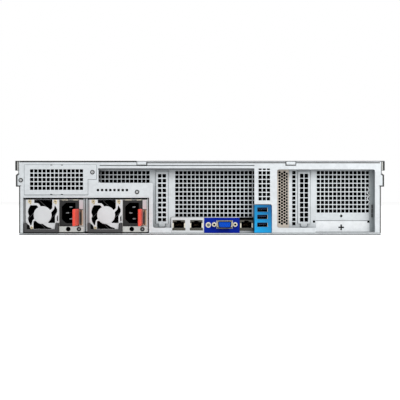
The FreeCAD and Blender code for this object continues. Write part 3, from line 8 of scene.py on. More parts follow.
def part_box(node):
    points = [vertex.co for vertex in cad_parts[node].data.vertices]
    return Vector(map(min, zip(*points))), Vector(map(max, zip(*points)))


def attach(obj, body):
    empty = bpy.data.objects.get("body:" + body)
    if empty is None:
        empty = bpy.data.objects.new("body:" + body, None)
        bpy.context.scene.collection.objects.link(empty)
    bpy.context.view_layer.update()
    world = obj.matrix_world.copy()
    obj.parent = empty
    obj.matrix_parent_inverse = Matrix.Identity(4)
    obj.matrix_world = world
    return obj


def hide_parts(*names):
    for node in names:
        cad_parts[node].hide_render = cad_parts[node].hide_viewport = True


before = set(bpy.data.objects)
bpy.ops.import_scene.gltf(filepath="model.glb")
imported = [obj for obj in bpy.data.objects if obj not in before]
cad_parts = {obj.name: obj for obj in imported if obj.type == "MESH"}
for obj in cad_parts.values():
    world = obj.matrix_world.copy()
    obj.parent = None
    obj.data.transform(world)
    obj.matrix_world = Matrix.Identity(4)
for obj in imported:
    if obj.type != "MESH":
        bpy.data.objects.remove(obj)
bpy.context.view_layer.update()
RANDOM = random.Random(4)

# Pieces are drawn in millimetres: X to the right and Z up as seen from behind, and Y forwards
# from the outer face of the rear wall. MM and REAR bring them into the frame.
MM = 0.001
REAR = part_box("chassis_tray")[0].y
TO_FRAME = Matrix.Translation((0, REAR, 0)) @ Matrix.Scale(MM, 4)

SOFTEN = 0.12                       # how far a sheet's edges are softened, unless said otherwise
VENT_ACROSS, VENT_UP = 4.87, 5.08   # the pitch of the square holes
VENT = 3.92                         # and their side
FOOT = 3.0                          # how high the supplies stand
PLATE = 11.5, 12.1                  # from where to where the recessed plates reach
BACKING = 13.6, 14.0                # and the black sheets behind their holes, painted shade that closes them to view
CAGE_END = 182.5                    # where the risers' cages end
LABEL = 9.1, 9.4                    # the labels round the ports
STUDS = 70, 340, 610                # where the rail studs stand along the sides


def box_of(node):
    """A node's left, right, rear, front, low and top, in millimetres."""
    low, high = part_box(node)
    return (low.x / MM, high.x / MM, (low.y - REAR) / MM, (high.y - REAR) / MM,
            low.z / MM, high.z / MM)


# ---- outlines, as lists of (x, z)

def rect(x0, x1, z0, z1):
    return [(x0, z0), (x1, z0), (x1, z1), (x0, z1)]


def block(x, z, width, height):
    return rect(x - width / 2, x + width / 2, z - height / 2, z + height / 2)


def disc(x, z, radius, sides=32, turn=0.0):
    return [(x + radius * math.cos(turn + 2 * math.pi * n / sides),
             z + radius * math.sin(turn + 2 * math.pi * n / sides)) for n in range(sides)]


def stepped(*sides):
    """An outline of level and upright sides, given in turn as z, x, z, x."""
    count = len(sides)
    return [(sides[(n + 1) % count], sides[n]) if n % 2 == 0 else (sides[n], sides[(n + 1) % count])
            for n in range(count)]


def eased(loop, radius, only=None, steps=4):
    """The outline with its corners rounded; only names the corners by number."""
    made = []
    for n, corner in enumerate(loop):
        here = Vector(corner)
        before = Vector(loop[n - 1]) - here
        after = Vector(loop[(n + 1) % len(loop)]) - here
        if only is not None and n not in only:
            made.append(tuple(here))
            continue
        half = before.angle(after) / 2
        reach = min(radius / math.tan(half), before.length * 0.49, after.length * 0.49)
        start = here + before.normalized() * reach
        end = here + after.normalized() * reach
        for k in range(steps + 1):
            t = k / steps
            made.append(tuple(start * (1 - t) ** 2 + here * 2 * t * (1 - t) + end * t ** 2))
    return made


def pill(x, z, length, height):
    """A slot with round ends."""
    return eased(block(x, z, length, height), height / 2 - 0.01, steps=6)


def grid(left, low, columns, rows, hole=VENT):
    """Square holes in columns and rows."""
    return [eased(block(left + c * VENT_ACROSS, low + r * VENT_UP, hole, hole), 0.15, steps=2)
            for c in range(columns) for r in range(rows)]


def span(middle, half):
    return middle - half, middle + half


def mirrored(side, near, far):
    """A stretch from near to far, on the side of the middle that -1 or 1 names."""
    return sorted((side * near, side * far))


def shifted(loop, x, z):
    return [(a + x, b + z) for a, b in loop]


def spun(loop, turn):
    """The outline turned about the origin."""
    return [(a * math.cos(turn) - b * math.sin(turn), a * math.sin(turn) + b * math.cos(turn))
            for a, b in loop]


def signed_area(loop):
    return sum(a * d - c * b for (a, b), (c, d) in zip(loop, loop[1:] + loop[:1])) / 2


# ---- meshes, in millimetres

TURNS = {
    "y": Matrix(((1, 0, 0, 0), (0, 0, 1, 0), (0, 1, 0, 0), (0, 0, 0, 1))),
    "x": Matrix(((0, 0, 1, 0), (1, 0, 0, 0), (0, 1, 0, 0), (0, 0, 0, 1))),
    "z": Matrix.Identity(4),
}


def placed(name, data):
    made = bpy.data.objects.new(name, data)
    bpy.context.scene.collection.objects.link(made)
    return made


def solid(curve):
    """The mesh that a curve makes."""
    holder = placed("curve", curve)
    mesh = bpy.data.meshes.new_from_object(holder)
    bpy.data.objects.remove(holder)
    return mesh


def sheet(outer, near, far, holes=(), soften=SOFTEN, along="y"):
    """A sheet or block: an outline with holes, drawn across an axis, from near to far along it."""
    soften = min(soften, (far - near) * 0.45)
    curve = bpy.data.curves.new("outline", "CURVE")
    curve.dimensions = "2D"
    curve.fill_mode = "BOTH"
    curve.extrude = (far - near) / 2 - soften
    curve.bevel_depth = soften
    curve.bevel_resolution = 1
    curve.offset = -soften
    for n, loop in enumerate([outer, *holes]):
        if (signed_area(loop) > 0) == (n > 0):
            loop = loop[::-1]
        spline = curve.splines.new("POLY")
        spline.points.add(len(loop) - 1)
        for point, (x, z) in zip(spline.points, loop):
            point.co = (x, z, 0, 1)
        spline.use_cyclic_u = True
    mesh = solid(curve)
    mesh.transform(Matrix.Translation((0, 0, (near + far) / 2)))
    mesh.transform(TURNS[along])
    if along == "y":
        mesh.flip_normals()
    return mesh


def turned(profile, x, y, z, steps=32, along="y"):
    """A round piece about an axis: profile is a list of (radius, distance along the axis)."""
    verts, faces = [], []
    for radius, distance in profile:
        for n in range(steps):
            angle = 2 * math.pi * n / steps
            verts.append((radius * math.cos(angle), radius * math.sin(angle), distance))
    for ring in range(len(profile) - 1):
        for n in range(steps):
            a, b = ring * steps + n, ring * steps + (n + 1) % steps
            faces.append((a, b, b + steps, a + steps))
    for ring, order in ((0, -1), (len(profile) - 1, 1)):
        if profile[ring][0] > 0:
            faces.append([ring * steps + n for n in range(steps)][::order])
    mesh = bpy.data.meshes.new("turned")
    mesh.from_pydata(verts, [], faces)
    turn = TURNS[along]
    mesh.transform(Matrix.Translation((x, y, z)) @ turn)
    if turn.determinant() < 0:
        mesh.flip_normals()
    mesh.validate()
    return mesh


def swept(points, radius, steps):
    """A round bar along points, in straight runs between them."""
    curve = bpy.data.curves.new("bar", "CURVE")
    curve.dimensions = "3D"
    curve.bevel_depth = radius
    curve.bevel_resolution = steps // 4
    curve.use_fill_caps = True
    spline = curve.splines.new("POLY")
    spline.points.add(len(points) - 1)
    for point, place in zip(spline.points, points):
        point.co = (*place, 1)
    return solid(curve)


class Piece:
    """One object in the making: meshes with their finishes, which then ride on a body."""

    def __init__(self, x=0, z=0):
        self.corner = x, z
        self.finishes, self.verts, self.faces, self.marks = [], [], [], []

    def add(self, finish, mesh):
        if finish not in self.finishes:
            self.finishes.append(finish)
        first = len(self.verts)
        self.verts += [TO_FRAME @ v.co for v in mesh.vertices]
        self.faces += [[first + i for i in p.vertices] for p in mesh.polygons]
        self.marks += [self.finishes.index(finish)] * len(mesh.polygons)

    def sheet(self, finish, outer, near, far, holes=(), soften=SOFTEN, along="y"):
        outer, *holes = [shifted(loop, *self.corner) for loop in (outer, *holes)]
        self.add(finish, sheet(outer, near, far, holes, soften, along))

    def flat(self, finish, outer, low, high, holes=(), soften=SOFTEN):
        """A level sheet, drawn as (x, y)."""
        self.sheet(finish, outer, low, high, holes, soften, along="z")

    def side(self, finish, outer, left, right, holes=(), soften=SOFTEN):
        """A sheet that faces sideways, drawn as (y, z)."""
        self.sheet(finish, outer, left, right, holes, soften, along="x")

    def slab(self, finish, x, y, z, soften=SOFTEN, ease=0.0):
        """A plain block between pairs of low and high values, its edges softened."""
        loop = shifted(rect(*x, *z), *self.corner)
        self.add(finish, sheet(eased(loop, ease, steps=3) if ease else loop, *y, soften=soften))

    def turned(self, finish, *how, **kw):
        self.add(finish, turned(*how, **kw))

    def swept(self, finish, points, radius, steps):
        self.add(finish, swept(points, radius, steps))

    def ride(self, name, body, slot, *replaced):
        """Makes the object, and lays down its body and the nodes it replaces; slot is not used."""
        whole = bpy.data.meshes.new(name)
        whole.from_pydata(self.verts, [], self.faces)
        for finish in self.finishes:
            whole.materials.append(finish)
        whole.polygons.foreach_set("material_index", self.marks)
        whole.shade_smooth()
        whole.set_sharp_from_angle(angle=math.radians(50))
        made = placed(name, whole)
        made.modifiers.new("normals", "WEIGHTED_NORMAL").keep_sharp = True
        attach(made, body)
        if replaced:
            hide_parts(*replaced)


# ---- materials

def linear(red, green, blue):
    """A colour given as it looks on a screen, from 0 to 255, as a shader takes it."""
    made = [c / 255 / 12.92 if c <= 10 else ((c / 255 + 0.055) / 1.055) ** 2.4
            for c in (red, green, blue)]
    return (*made, 1)


class Nodes:
    """The node tree of a material or a world, with short ways to add to it."""

    def __init__(self, owner, shader="Principled BSDF"):
        self.owner = owner
        owner.use_nodes = True
        self.tree = owner.node_tree
        self.shader = self.tree.nodes[shader]
        self.place = self.add("ShaderNodeTexCoord").outputs["Object"]

    def fill(self, node, inputs):
        """Sets inputs by name or number, and links those whose value is another node's output."""
        for key, value in inputs.items():
            if isinstance(value, bpy.types.NodeSocket):
                self.tree.links.new(value, node.inputs[key])
            else:
                node.inputs[key].default_value = value

    def add(self, kind, inputs=None, **settings):
        made = self.tree.nodes.new(kind)
        for key, value in settings.items():
            setattr(made, key, value)
        self.fill(made, inputs or {})
        return made

    def combined(self, operation, first, second):
        return self.add("ShaderNodeMath", {0: first, 1: second}, operation=operation).outputs[0]

    def seen(self):
        """1 for what is seen straight or in a reflection, and 0 for what lights other things."""
        path = self.add("ShaderNodeLightPath").outputs
        return self.combined("MAXIMUM", path["Is Camera Ray"], path["Is Glossy Ray"])

    def noise(self, scale, detail, stretch=(1, 1, 1)):
        """Noise of a given scale per metre, which may be stretched along an axis."""
        mapping = self.add("ShaderNodeMapping", {"Scale": stretch, "Vector": self.place})
        return self.add("ShaderNodeTexNoise", {
            "Scale": scale, "Detail": detail, "Roughness": 0.6,
            "Vector": mapping.outputs["Vector"]}).outputs["Fac"]

    def flakes(self, scale):
        """Cells of differing brightness, as in a zinc coat."""
        cells = self.add("ShaderNodeTexVoronoi", {"Scale": scale, "Vector": self.place})
        split = self.add("ShaderNodeSeparateColor", {"Color": cells.outputs["Color"]})
        return split.outputs["Red"]

    def between(self, factor, low, high, span=(0.3, 0.7)):
        """A value that runs from low to high as the factor crosses its span."""
        return self.add("ShaderNodeMapRange", {
            "From Min": span[0], "From Max": span[1], "To Min": low, "To Max": high,
            "Value": factor}).outputs["Result"]

    def blend(self, factor, first, second):
        """A colour between two colours or outputs."""
        made = self.add("ShaderNodeMix", {"Factor": factor, 6: first, 7: second}, data_type="RGBA")
        return made.outputs[2]

    def mottled(self, tone, colour, spread):
        """The colour, a little darker and lighter by turns."""
        return self.blend(self.between(tone, 0, 1), scaled(colour, 1 - spread),
                          scaled(colour, 1 + spread))

    def bump(self, height, depth, strength):
        made = self.add("ShaderNodeBump", {"Strength": strength, "Distance": depth,
                                           "Height": height})
        self.fill(self.shader, {"Normal": made.outputs["Normal"]})


def scaled(colour, factor):
    return (*[min(c * factor, 1.0) for c in colour[:3]], 1)


def metal(name, colour, metallic=0.35, rough=(0.36, 0.5), spread=0.05, flakes=0.0, brushed=None,
          corner_shade=0.12, corners=0.004):
    """Sheet metal: a fine grain or brushing, faint flakes of zinc, and painted shade in inner
    corners and near other surfaces.
    """
    colour = linear(*colour)
    nodes = Nodes(bpy.data.materials.new(name))
    tone = nodes.noise(55, 4)
    if flakes:
        cells = nodes.between(nodes.flakes(flakes), -0.16, 0.16, span=(0, 1))
        tone = nodes.combined("ADD", tone, cells)
    base = nodes.mottled(tone, colour, spread)
    # painted shade: ambient occlusion darkens the colour where other surfaces lie within reach
    corner = nodes.add("ShaderNodeAmbientOcclusion", {"Distance": corners}, samples=8)
    shade = nodes.between(corner.outputs["AO"], 0, 1, span=(0.25, 0.85))
    grain = nodes.noise(1500 if brushed else 2600, 3, brushed or (1, 1, 1))
    base = nodes.blend(shade, scaled(colour, 1 - 2.2 * corner_shade), base)
    nodes.fill(nodes.shader, {"Base Color": base, "Metallic": metallic,
                              "Roughness": nodes.between(grain, *rough)})
    nodes.bump(grain, 0.00004, 0.35)
    return nodes.owner


def plastic(name, colour, rough=(0.42, 0.55), coat=0.0, spread=0.08, glow=0.0, shine=0.5):
    """Moulded plastic with a fine texture and faint shifts in tone."""
    colour = linear(*colour)
    nodes = Nodes(bpy.data.materials.new(name))
    fine = nodes.noise(3000, 2)
    nodes.fill(nodes.shader, {"Base Color": nodes.mottled(nodes.noise(120, 3), colour, spread),
                              "Roughness": nodes.between(fine, *rough),
                              "Specular IOR Level": shine})
    nodes.bump(fine, 0.00003, 0.4)
    if coat:
        nodes.fill(nodes.shader, {"Coat Weight": coat, "Coat Roughness": 0.15})
    if glow:
        nodes.fill(nodes.shader, {"Subsurface Weight": glow,
                                  "Subsurface Radius": (0.002, 0.0006, 0.0004)})
    return nodes.owner


def usb_blue():
    """The USB housing: light blue, with painted shade darkening it towards its upper right corner.
    """
    nodes = Nodes(bpy.data.materials.new("usb_blue"))
    split = nodes.add("ShaderNodeSeparateXYZ", {"Vector": nodes.place}).outputs
    low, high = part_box("usb_stack")
    rise = nodes.between(split["Z"], 0, 0.6, span=(low.z, high.z))
    across = nodes.between(split["X"], 0, 0.4, span=(low.x, high.x))
    shade = nodes.blend(nodes.combined("ADD", rise, across), linear(18, 182, 250),
                        linear(0, 80, 142))
    fine = nodes.noise(3000, 2)
    nodes.fill(nodes.shader, {"Base Color": shade, "Roughness": nodes.between(fine, 0.25, 0.4),
                              "Specular IOR Level": 0.3})
    nodes.bump(fine, 0.00002, 0.3)
    return nodes.owner


def circuit(name, colour, line):
    """A circuit board: solder mask over fine tracks and pads."""
    nodes = Nodes(bpy.data.materials.new(name))
    brick = nodes.add("ShaderNodeTexBrick", {
        "Scale": 160, "Mortar Size": 0.03, "Color1": colour, "Color2": scaled(colour, 1.35),
        "Mortar": line, "Vector": nodes.place}).outputs
    patches = nodes.between(nodes.noise(900, 2), 0, 1, span=(0.45, 0.6))
    base = nodes.blend(patches, scaled(colour, 0.8), brick["Color"])
    nodes.fill(nodes.shader, {"Base Color": base, "Roughness": 0.4, "Coat Weight": 0.25})
    nodes.bump(brick["Fac"], 0.00005, 0.4)
    return nodes.owner


PANEL = metal("galvanised", (214, 219, 222), flakes=330)
# painted shade: the recessed plates, a little darker than the panel, and darkened strongly within
# 16 mm of the window edges and the rail above them
RECESS = metal("galvanised_recess", (208, 213, 216), flakes=330, corner_shade=0.3, corners=0.016)
SHADE = metal("galvanised_shade", (112, 121, 124), metallic=0.2, flakes=330)
FILLER = metal("filler_sheet", (227, 230, 232), flakes=330)
# painted shade: a darkened copy of the galvanised steel for the walls and strips that lie in shadow
WALL_SHADE = metal("side_wall_shade", (168, 176, 179), metallic=0.2, flakes=330, corner_shade=0.05)
# dark seam lines, partly real joints and partly painted shadow under and over the rail and along
# window edges
SEAM_AND_SHADOW = metal("seam", (88, 92, 95), metallic=0.2)
OLIVE = metal("dull_shell", (74, 72, 64), metallic=0.35, rough=(0.4, 0.55))
EDGE = metal("sheet_edge", (138, 140, 142), metallic=0.2)
# painted shade: steel darkened where it lies in shadow, on the hinge, behind the display port and
# round the USB mouths
STEEL_IN_SHADE = metal("inner_steel_in_shade", (70, 74, 76), metallic=0.2)
COVER = metal("cover_sheet", (190, 194, 197), metallic=0.25, rough=(0.52, 0.64), flakes=260)
# painted shadow: near-black lines for the gaps and edges that lie in shade round the panel, covers,
# screws and supplies
SHADOW_LINE = metal("cut_edge_in_shadow", (46, 47, 47), metallic=0.2)
DARK_EDGE = metal("screw_foot", (96, 100, 104), metallic=0.7)
BRIGHT = metal("bright_steel", (186, 187, 184), metallic=0.75, rough=(0.3, 0.45),
               brushed=(0.05, 1, 1))
CREAM = metal("cream_plating", (226, 220, 202), metallic=0.5, rough=(0.3, 0.45))
GUARD = metal("guard_plate", (218, 220, 222), metallic=0.2, rough=(0.4, 0.55))
TAN = metal("tan_plate", (178, 158, 138), metallic=0.6, rough=(0.3, 0.45))
BROWN = metal("brown_plate", (120, 98, 76), metallic=0.5, rough=(0.35, 0.5))
# painted shade darkens the screen near the surfaces round it
COPPER = metal("copper_mesh", (202, 192, 180), metallic=0.35, rough=(0.35, 0.5), corner_shade=0.25)
GOLD = metal("gold_contact", (222, 196, 140), metallic=0.95, rough=(0.2, 0.3))
SCREW = metal("screw_head", (206, 206, 200), metallic=0.9, rough=(0.2, 0.35))
BRASS_SCREW = metal("golden_screw", (208, 192, 156), metallic=0.85,
                    rough=(0.25, 0.4), spread=0.16)
BLACK = plastic("black_plastic", (12, 12, 13), shine=0.05)
# painted shade: near-black for what lies deep in shade, on the sheets behind holes, in gaps and
# mouths, and on the supplies' fan blades
SHADOW_BLACK = plastic("deep_black", (4, 4, 5), rough=(0.8, 0.95), shine=0.0)
SOCKET = plastic("socket_black", (30, 30, 30), rough=(0.45, 0.6), shine=0.3)
DARK = plastic("dark_grey_plastic", (76, 76, 77), shine=0.25)
MID = plastic("mid_grey_plastic", (120, 122, 125))
RED = plastic("red_tab", (255, 84, 66), rough=(0.34, 0.46), coat=0.12, glow=0.15,
              spread=0.03, shine=0.3)
PINK = plastic("pale_block", (208, 200, 204), spread=0.03)
WHITE = plastic("white_label", (226, 229, 230), rough=(0.4, 0.5), spread=0.02)
BLUE = plastic("blue_label", (0, 36, 160), rough=(0.5, 0.65), spread=0.05, shine=0.1)
INSERT = plastic("bright_blue_insert", (0, 88, 224), rough=(0.4, 0.5), spread=0.05, shine=0.15)
USB = usb_blue()
TONGUE = plastic("usb_tongue", (3, 34, 76), rough=(0.35, 0.45), shine=0.2)
BOARD = circuit("solder_mask", linear(28, 74, 48), linear(60, 110, 74))
CHIP = plastic("chip", (34, 34, 37), rough=(0.35, 0.5))
FIN = metal("aluminium_fins", (205, 208, 212), metallic=0.9, rough=(0.3, 0.45),
            brushed=(1, 0.04, 1))
EAR = metal("ear_metal", (150, 153, 157), metallic=0.8, rough=(0.32, 0.45),
            brushed=(1, 1, 0.05))
CARRIER = plastic("carrier_plastic", (40, 41, 44), rough=(0.5, 0.62), shine=0.35)
GLOW = plastic("light_window", (120, 220, 140), rough=(0.2, 0.3), coat=0.4, shine=0.5)


# ---- rear wall

def rear_wall():
    """The rear panel with its windows, lugs, flange, rail and fixed grilles."""
    edge, top = 211.7, 86.5
    notches = (-68.6, 1), (107.1, -1)       # the middle of each, and the side that its step is on
    slant = [(214.9, 58.4), (214.9, 69.8), (212.0, 72.3), (212.0, top)]
    outer = [(edge, 2.7), (edge, 57.4), (210.6, 57.4), (210.6, 58.4), *slant]
    for middle, _ in notches[::-1]:
        left, right = span(middle, 5.65)
        outer += [(right, top), (right, 82.6), (left, 82.6), (left, top)]
    outer += [(-x, z) for x, z in slant[::-1]]
    outer += [(-210.6, 58.4), (-210.6, 57.4), (-edge, 57.4), (-edge, 2.7), (-208.3, 2.7),
              (-208.3, 43.9), (-60, 43.9), (-60, 2.7), (-33.6, 2.7), (-33.6, 8.6)]
    first = len(outer)
    outer += [(-55.4, 8.6), (-55.4, 61.6), (-119, 61.6), (-119, 78.2), (64, 78.2), (64, 36.3),
              (84.7, 36.3), (84.7, 2.7)]
    outer = eased(outer, 2.6, only=(first, first + 1, first + 2, first + 6))
    right = eased(stepped(77.3, 90.8, 8.6, 138.0, 4.0, 206.0), 2.6, only=(0, 1, 5))
    bay = rect(-201.6, -137, 52.6, 77.8)
    small = [eased(block(-120.2 + n * VENT_ACROSS, 53, 2.8, 2.8), 0.4, steps=3) for n in range(8)]
    halves = [block(70.8 + n * VENT_ACROSS, 77.5, 3.55, 1.8) for n in range(3)]
    made = Piece()

    def mark(finish, x, z, face=-0.1, soften=0.03):
        made.slab(finish, x, (face, 0.3), z, soften)

    def rim(finish, x, z, face=0.3):
        made.slab(finish, x, (face, 1), z, 0.05)

    made.sheet(PANEL, outer, 0, 1, [right, bay, *small, *halves, *grid(70.8, 42.8, 3, 7)])
    made.slab(PANEL, (-edge, edge), (1, 10), (85.5, top))
    made.slab(PANEL, (-120, 64), (-0.8, 0), (78.5, 81.3), 0.35)
    # painted shadow under the rail, and above it a dark line for the shadow in its fold
    mark(SEAM_AND_SHADOW, (-120, 64), (77.0, 78.6), -0.12, 0.05)
    mark(SEAM_AND_SHADOW, (-118, 64), (81.2, 82.5))
    mark(SHADOW_BLACK, (-208.3, -60.2), (2.5, 3.5), 0.1)
    # a painted shadow strip under the cover's rear edge
    mark(SHADOW_LINE, (-211.9, -74.8), (85.7, 86.45))
    # painted shade on the right window's side wall
    made.slab(WALL_SHADE, (206.6, 207.2), (1, 10.8), (2.8, 80))
    # a painted shadow along the lower edge of the right window
    mark(SEAM_AND_SHADOW, (136, 206), (3.4, 4.0), -0.08)

    # painted shade seen through the small holes, and the rim of the supplies' opening with painted
    # shadow in its gaps
    made.slab(SHADOW_BLACK, (-123, -83), (1.6, 2.0), (50.5, 55.5))
    made.slab(SHADOW_BLACK, (-201, -138), (2.5, 2.9), (53, 77.4))
    made.slab(SHADOW_BLACK, (69.4, 83), (2.0, 2.4), (40, 79.6))
    made.slab(PANEL, (-207.9, -60.4), (-0.4, 0), (44.9, 46.1), 0.18)
    made.slab(SHADOW_BLACK, (-208.3, -60), (0.2, 0.9), (42.9, 43.9), 0.05)
    rim(SHADOW_BLACK, (-61.2, -60.3), (3, 44))
    rim(SHADOW_BLACK, (-208.3, -207.3), (3, 13.6))
    rim(EDGE, (-208.3, -207.3), (13.6, 43))
    rim(WALL_SHADE, (-137.1, -132.5), (3, 43), 0.5)
    made.slab(SHADOW_LINE, (-135.6, -134.5), (0.35, 0.5), (3, 43), 0.03)
    made.slab(SHADOW_BLACK, (-136.9, -132.6), (0.3, 0.5), (2.8, 4.2), 0.03)

    # the outer edges, and the lines round the cover's hooks, drawn as painted shadow in the gaps
    # there
    for side in (-1, 1):
        lug = [(side * x, z) for x, z in ((211.8, 57), (216.9, 57), (216.9, 70.8), (211.8, 74.6))]
        made.sheet(SHADOW_LINE, lug, 0.4, 0.9, (), 0.05)
        rim(SHADOW_LINE, mirrored(side, edge, 213), (2.7, 57.4), 0.1)
        rim(PANEL, mirrored(side, 212.0, 213.5), (72.0, 86.4), 0.1)
        rim(SHADOW_LINE, mirrored(side, 213.1, 213.9), (72.6, 86.4), 0.05)
        rim(BRIGHT, mirrored(side, 213.9, 215.2), (76.2, 86.4))
    mark(SHADOW_LINE, (-68.6 + 6.2, 107.1 - 6.2), (84.6, 85.8))
    mark(SHADOW_LINE, (107.1 + 6.2, 211.9), (84.6, 85.8))
    for middle, side in notches[::-1]:
        mark(SHADOW_LINE, span(middle, 6.0), (81.7, 82.6))
        mark(SHADOW_LINE, span(middle + side * 6.1, 0.45), (81.8, 86.4))
        mark(SEAM_AND_SHADOW, span(middle - side * 5.9, 0.25), (82.6, 86.4))
    # a painted shadow line down the edge of the upper window
    mark(SEAM_AND_SHADOW, (-119.6, -119.0), (61.7, 78.1), -0.05)
    made.ride("rear_wall", "chassis", "galvanised_steel", "rear_panel")


def bay_cover():
    """The plate over the upper left bay, with dark seams round it."""
    left, right, low, step, top = -206.6, -122, 47.6, 65.7, 82.8
    hooks = -162.5, -175
    outer = [(right, top)]
    for x in hooks:
        outer += [(x + 1.3, top), (x + 1.3, top - 0.8), (x - 1.3, top - 0.8), (x - 1.3, top)]
    outer += [(left, top), (left, low)]
    for x in hooks[::-1]:
        outer += [(x - 1.3, low), (x - 1.3, 48.4), (x + 1.3, 48.4), (x + 1.3, low)]
    outer += [(-132, low), (-132, step), (right, step)]
    made = Piece()
    made.sheet(PANEL, outer, -0.8, 0, grid(-198, 55.2, 13, 5))
    for x, z, wide, high in ((-169.3, 47.3, 75.0, 0.3), (-127, 65.5, 10.2, 0.2),
                             (-164.3, 83.0, 84.6, 0.12)):
        made.slab(SHADE, span(x, wide / 2), (-0.12, 0), span(z, high), 0.03)
    for x, z, high in ((-206.85, 65.2, 35.4), (-131.8, 56.6, 18.0), (-121.8, 74.2, 17.0)):
        made.slab(SHADE, span(x, 0.2), (-0.12, 0), span(z, high / 2), 0.03)
    for x in hooks[::-1]:
        for z in (48.0, 82.4):
            made.slab(SHADOW_BLACK, span(x, 1.25), (-0.1, 0), span(z, 0.5), 0.03)
    made.ride("bay_cover", "chassis", "galvanised_steel", "rear_bay_cover")


def screw(made, x, face, z, radius, high, finish, turn=0.5):
    """A pan head with a cross recess, standing on a face towards the back."""
    arm, bar = radius * 0.55, radius * 0.16
    cross = stepped(-arm, bar, -bar, arm, bar, bar, arm, -bar, bar, -arm, -bar, -bar)
    cross = shifted(spun(cross, turn), x, z)
    made.sheet(finish, disc(x, z, radius, 28), face - high, face - high * 0.35, [cross], 0.18)
    made.sheet(DARK_EDGE, disc(x, z, radius * 0.98, 28), face - high * 0.36, face, (), 0.02)


def panel_screws():
    """The wall's screws: pale heads in dark rings."""
    made = Piece()
    for x, face, z in ((-126.5, -0.8, 74.0), (-74.1, 0.0, 50.8), (-211.0, 0.0, 64.7)):
        made.sheet(SHADOW_LINE, disc(x, z, 2.6, 28), face - 0.5, face, [disc(x, z, 1.4, 20)], 0.1)
        screw(made, x, face, z, 1.35, 0.9, WHITE)
    made.ride("rear_screws", "chassis", "screw_steel", "panel_screws")


# ---- recessed plates

def cage_left():
    """The main grille, the upper grille and the walls of their cage."""
    left, right, low, top = -123, 68.5, 5.3, 82
    outer = stepped(top, left, 47, -58, low, -35, 20.6, 63.9, 35.9, right)
    slot = rect(-51.55, -39.15, 14.5, 73.5)
    vents = grid(-120.7, 63.77, 13, 3) + grid(-27.56, 23.13, 19, 11) + grid(64.97, 38.37, 1, 8)
    made = Piece()
    made.sheet(RECESS, outer, *PLATE, [slot, *vents])
    # black backing sheets: painted shade behind the grille holes
    made.slab(SHADOW_BLACK, (-121.9, 67.4), BACKING, (36.6, 80.9))
    made.slab(SHADOW_BLACK, (-34.5, 63.5), BACKING, (21.0, 36.6))
    made.slab(PANEL, (left, left + 1), (12.1, CAGE_END), (47, top))
    made.slab(PANEL, (right - 1, right), (12.5, CAGE_END), (35.9, top))
    made.slab(PANEL, (right - 1, right), (17.3, CAGE_END), (low, 35.9))
    made.flat(PANEL, rect(left + 1, right - 1, 12.5, CAGE_END), top - 1, top,
              [pill(x, 120, 34, 5) for x in (-90, -27, 36)])
    made.ride("cage_left", "chassis", "shaded_steel", "riser_cage_left")


def cage_right():
    """The lone column of holes, the card slot, and the right grille over its filler plate."""
    left, right, low, top = 90.4, 207, 5.3, 82
    outer = stepped(top, left, low, 138, 2.6, right)
    arm, bar = 3.4, 0.85
    cross = shifted(stepped(-arm, bar, -bar, arm, bar, bar, arm, -bar, bar, -arm, -bar, -bar),
                    168.6, 8.6)
    pin = [(168.6, 20.2), (170.6, 22.2), (168.6, 24.2), (166.6, 22.2)]
    vents = grid(141.4, 28.21, 12, 10)
    last = grid(199.9, 28.21, 1, 10, hole=3.6)
    holes = [rect(93.2, 104.6, 6.9, 79.2), rect(117.9, 130.3, 14.5, 73.5), cross, pin,
             block(136.2, 15.5, 2.7, 2.7), block(201.1, 15.5, 2.7, 2.7),
             *grid(112.1, 12.97, 1, 13), *vents, *last]
    made = Piece()
    made.sheet(RECESS, outer, 11.6, 12.1, holes)
    # a black backing sheet: painted shade behind the grille holes
    made.slab(SHADOW_BLACK, (107.6, 205.9), BACKING, (5.5, 80.9))
    made.slab(PANEL, (left, left + 1), (12.5, CAGE_END), (low, top))
    made.slab(PANEL, (right - 1, right), (12.5, CAGE_END), (low, top))

    # the raised field round the holes, and the filler plate below it
    made.sheet(RECESS, eased(rect(137.6, 205, 16.9, 77), 0.3), 11.5, 11.62, [*vents, *last, pin])
    filler = [(138.4, 3.2), (204.6, 3.2), (204.6, 16.0), (202.5, 16.0), (202.5, 14.1),
              (199.7, 14.1), (199.7, 16.0), (138.4, 16.0)]
    made.sheet(FILLER, filler, 11.4, 11.62, [cross])
    made.slab(SEAM_AND_SHADOW, (138, 199.6), (11.35, 11.5), (16.6, 17.0), 0.05)

    # the shaded edge beside the last column, its hinge and its spring fingers
    made.sheet(WALL_SHADE, eased(rect(202.5, 209.6, 3, 79.5), 0.4), 10.9, 11.5, (), 0.1)
    for knuckle in ((20.7, 25.2), (25.6, 30.8), (31.2, 35.7)):
        made.slab(STEEL_IN_SHADE, (204.2, 206.0), (9.6, 10.9), knuckle, 0.5)
    # painted shade behind the hole under the screen
    made.slab(SHADOW_BLACK, (93.0, 105.4), (13.0, 13.4), (6.5, 79.6))
    for z, lean, reach in ((37.0, 1.7, 0.2), (40.6, -1.5, 0.9), (44.4, 1.2, 0.0), (48.0, -1.8, 0.7),
                           (51.6, 1.5, 0.3), (54.6, -1.2, 0.8)):
        x = 199.8 + reach
        finger = [(x - lean, z - 1.9), (x - lean + 1.2, z - 1.9), (x + lean + 1.0, z + 1.9),
                  (x + lean - 0.2, z + 1.9)]
        made.sheet(WHITE, finger, 10.6, 11.3, (), 0.15)
    made.ride("cage_right", "chassis", "shaded_steel", "riser_cage_right")


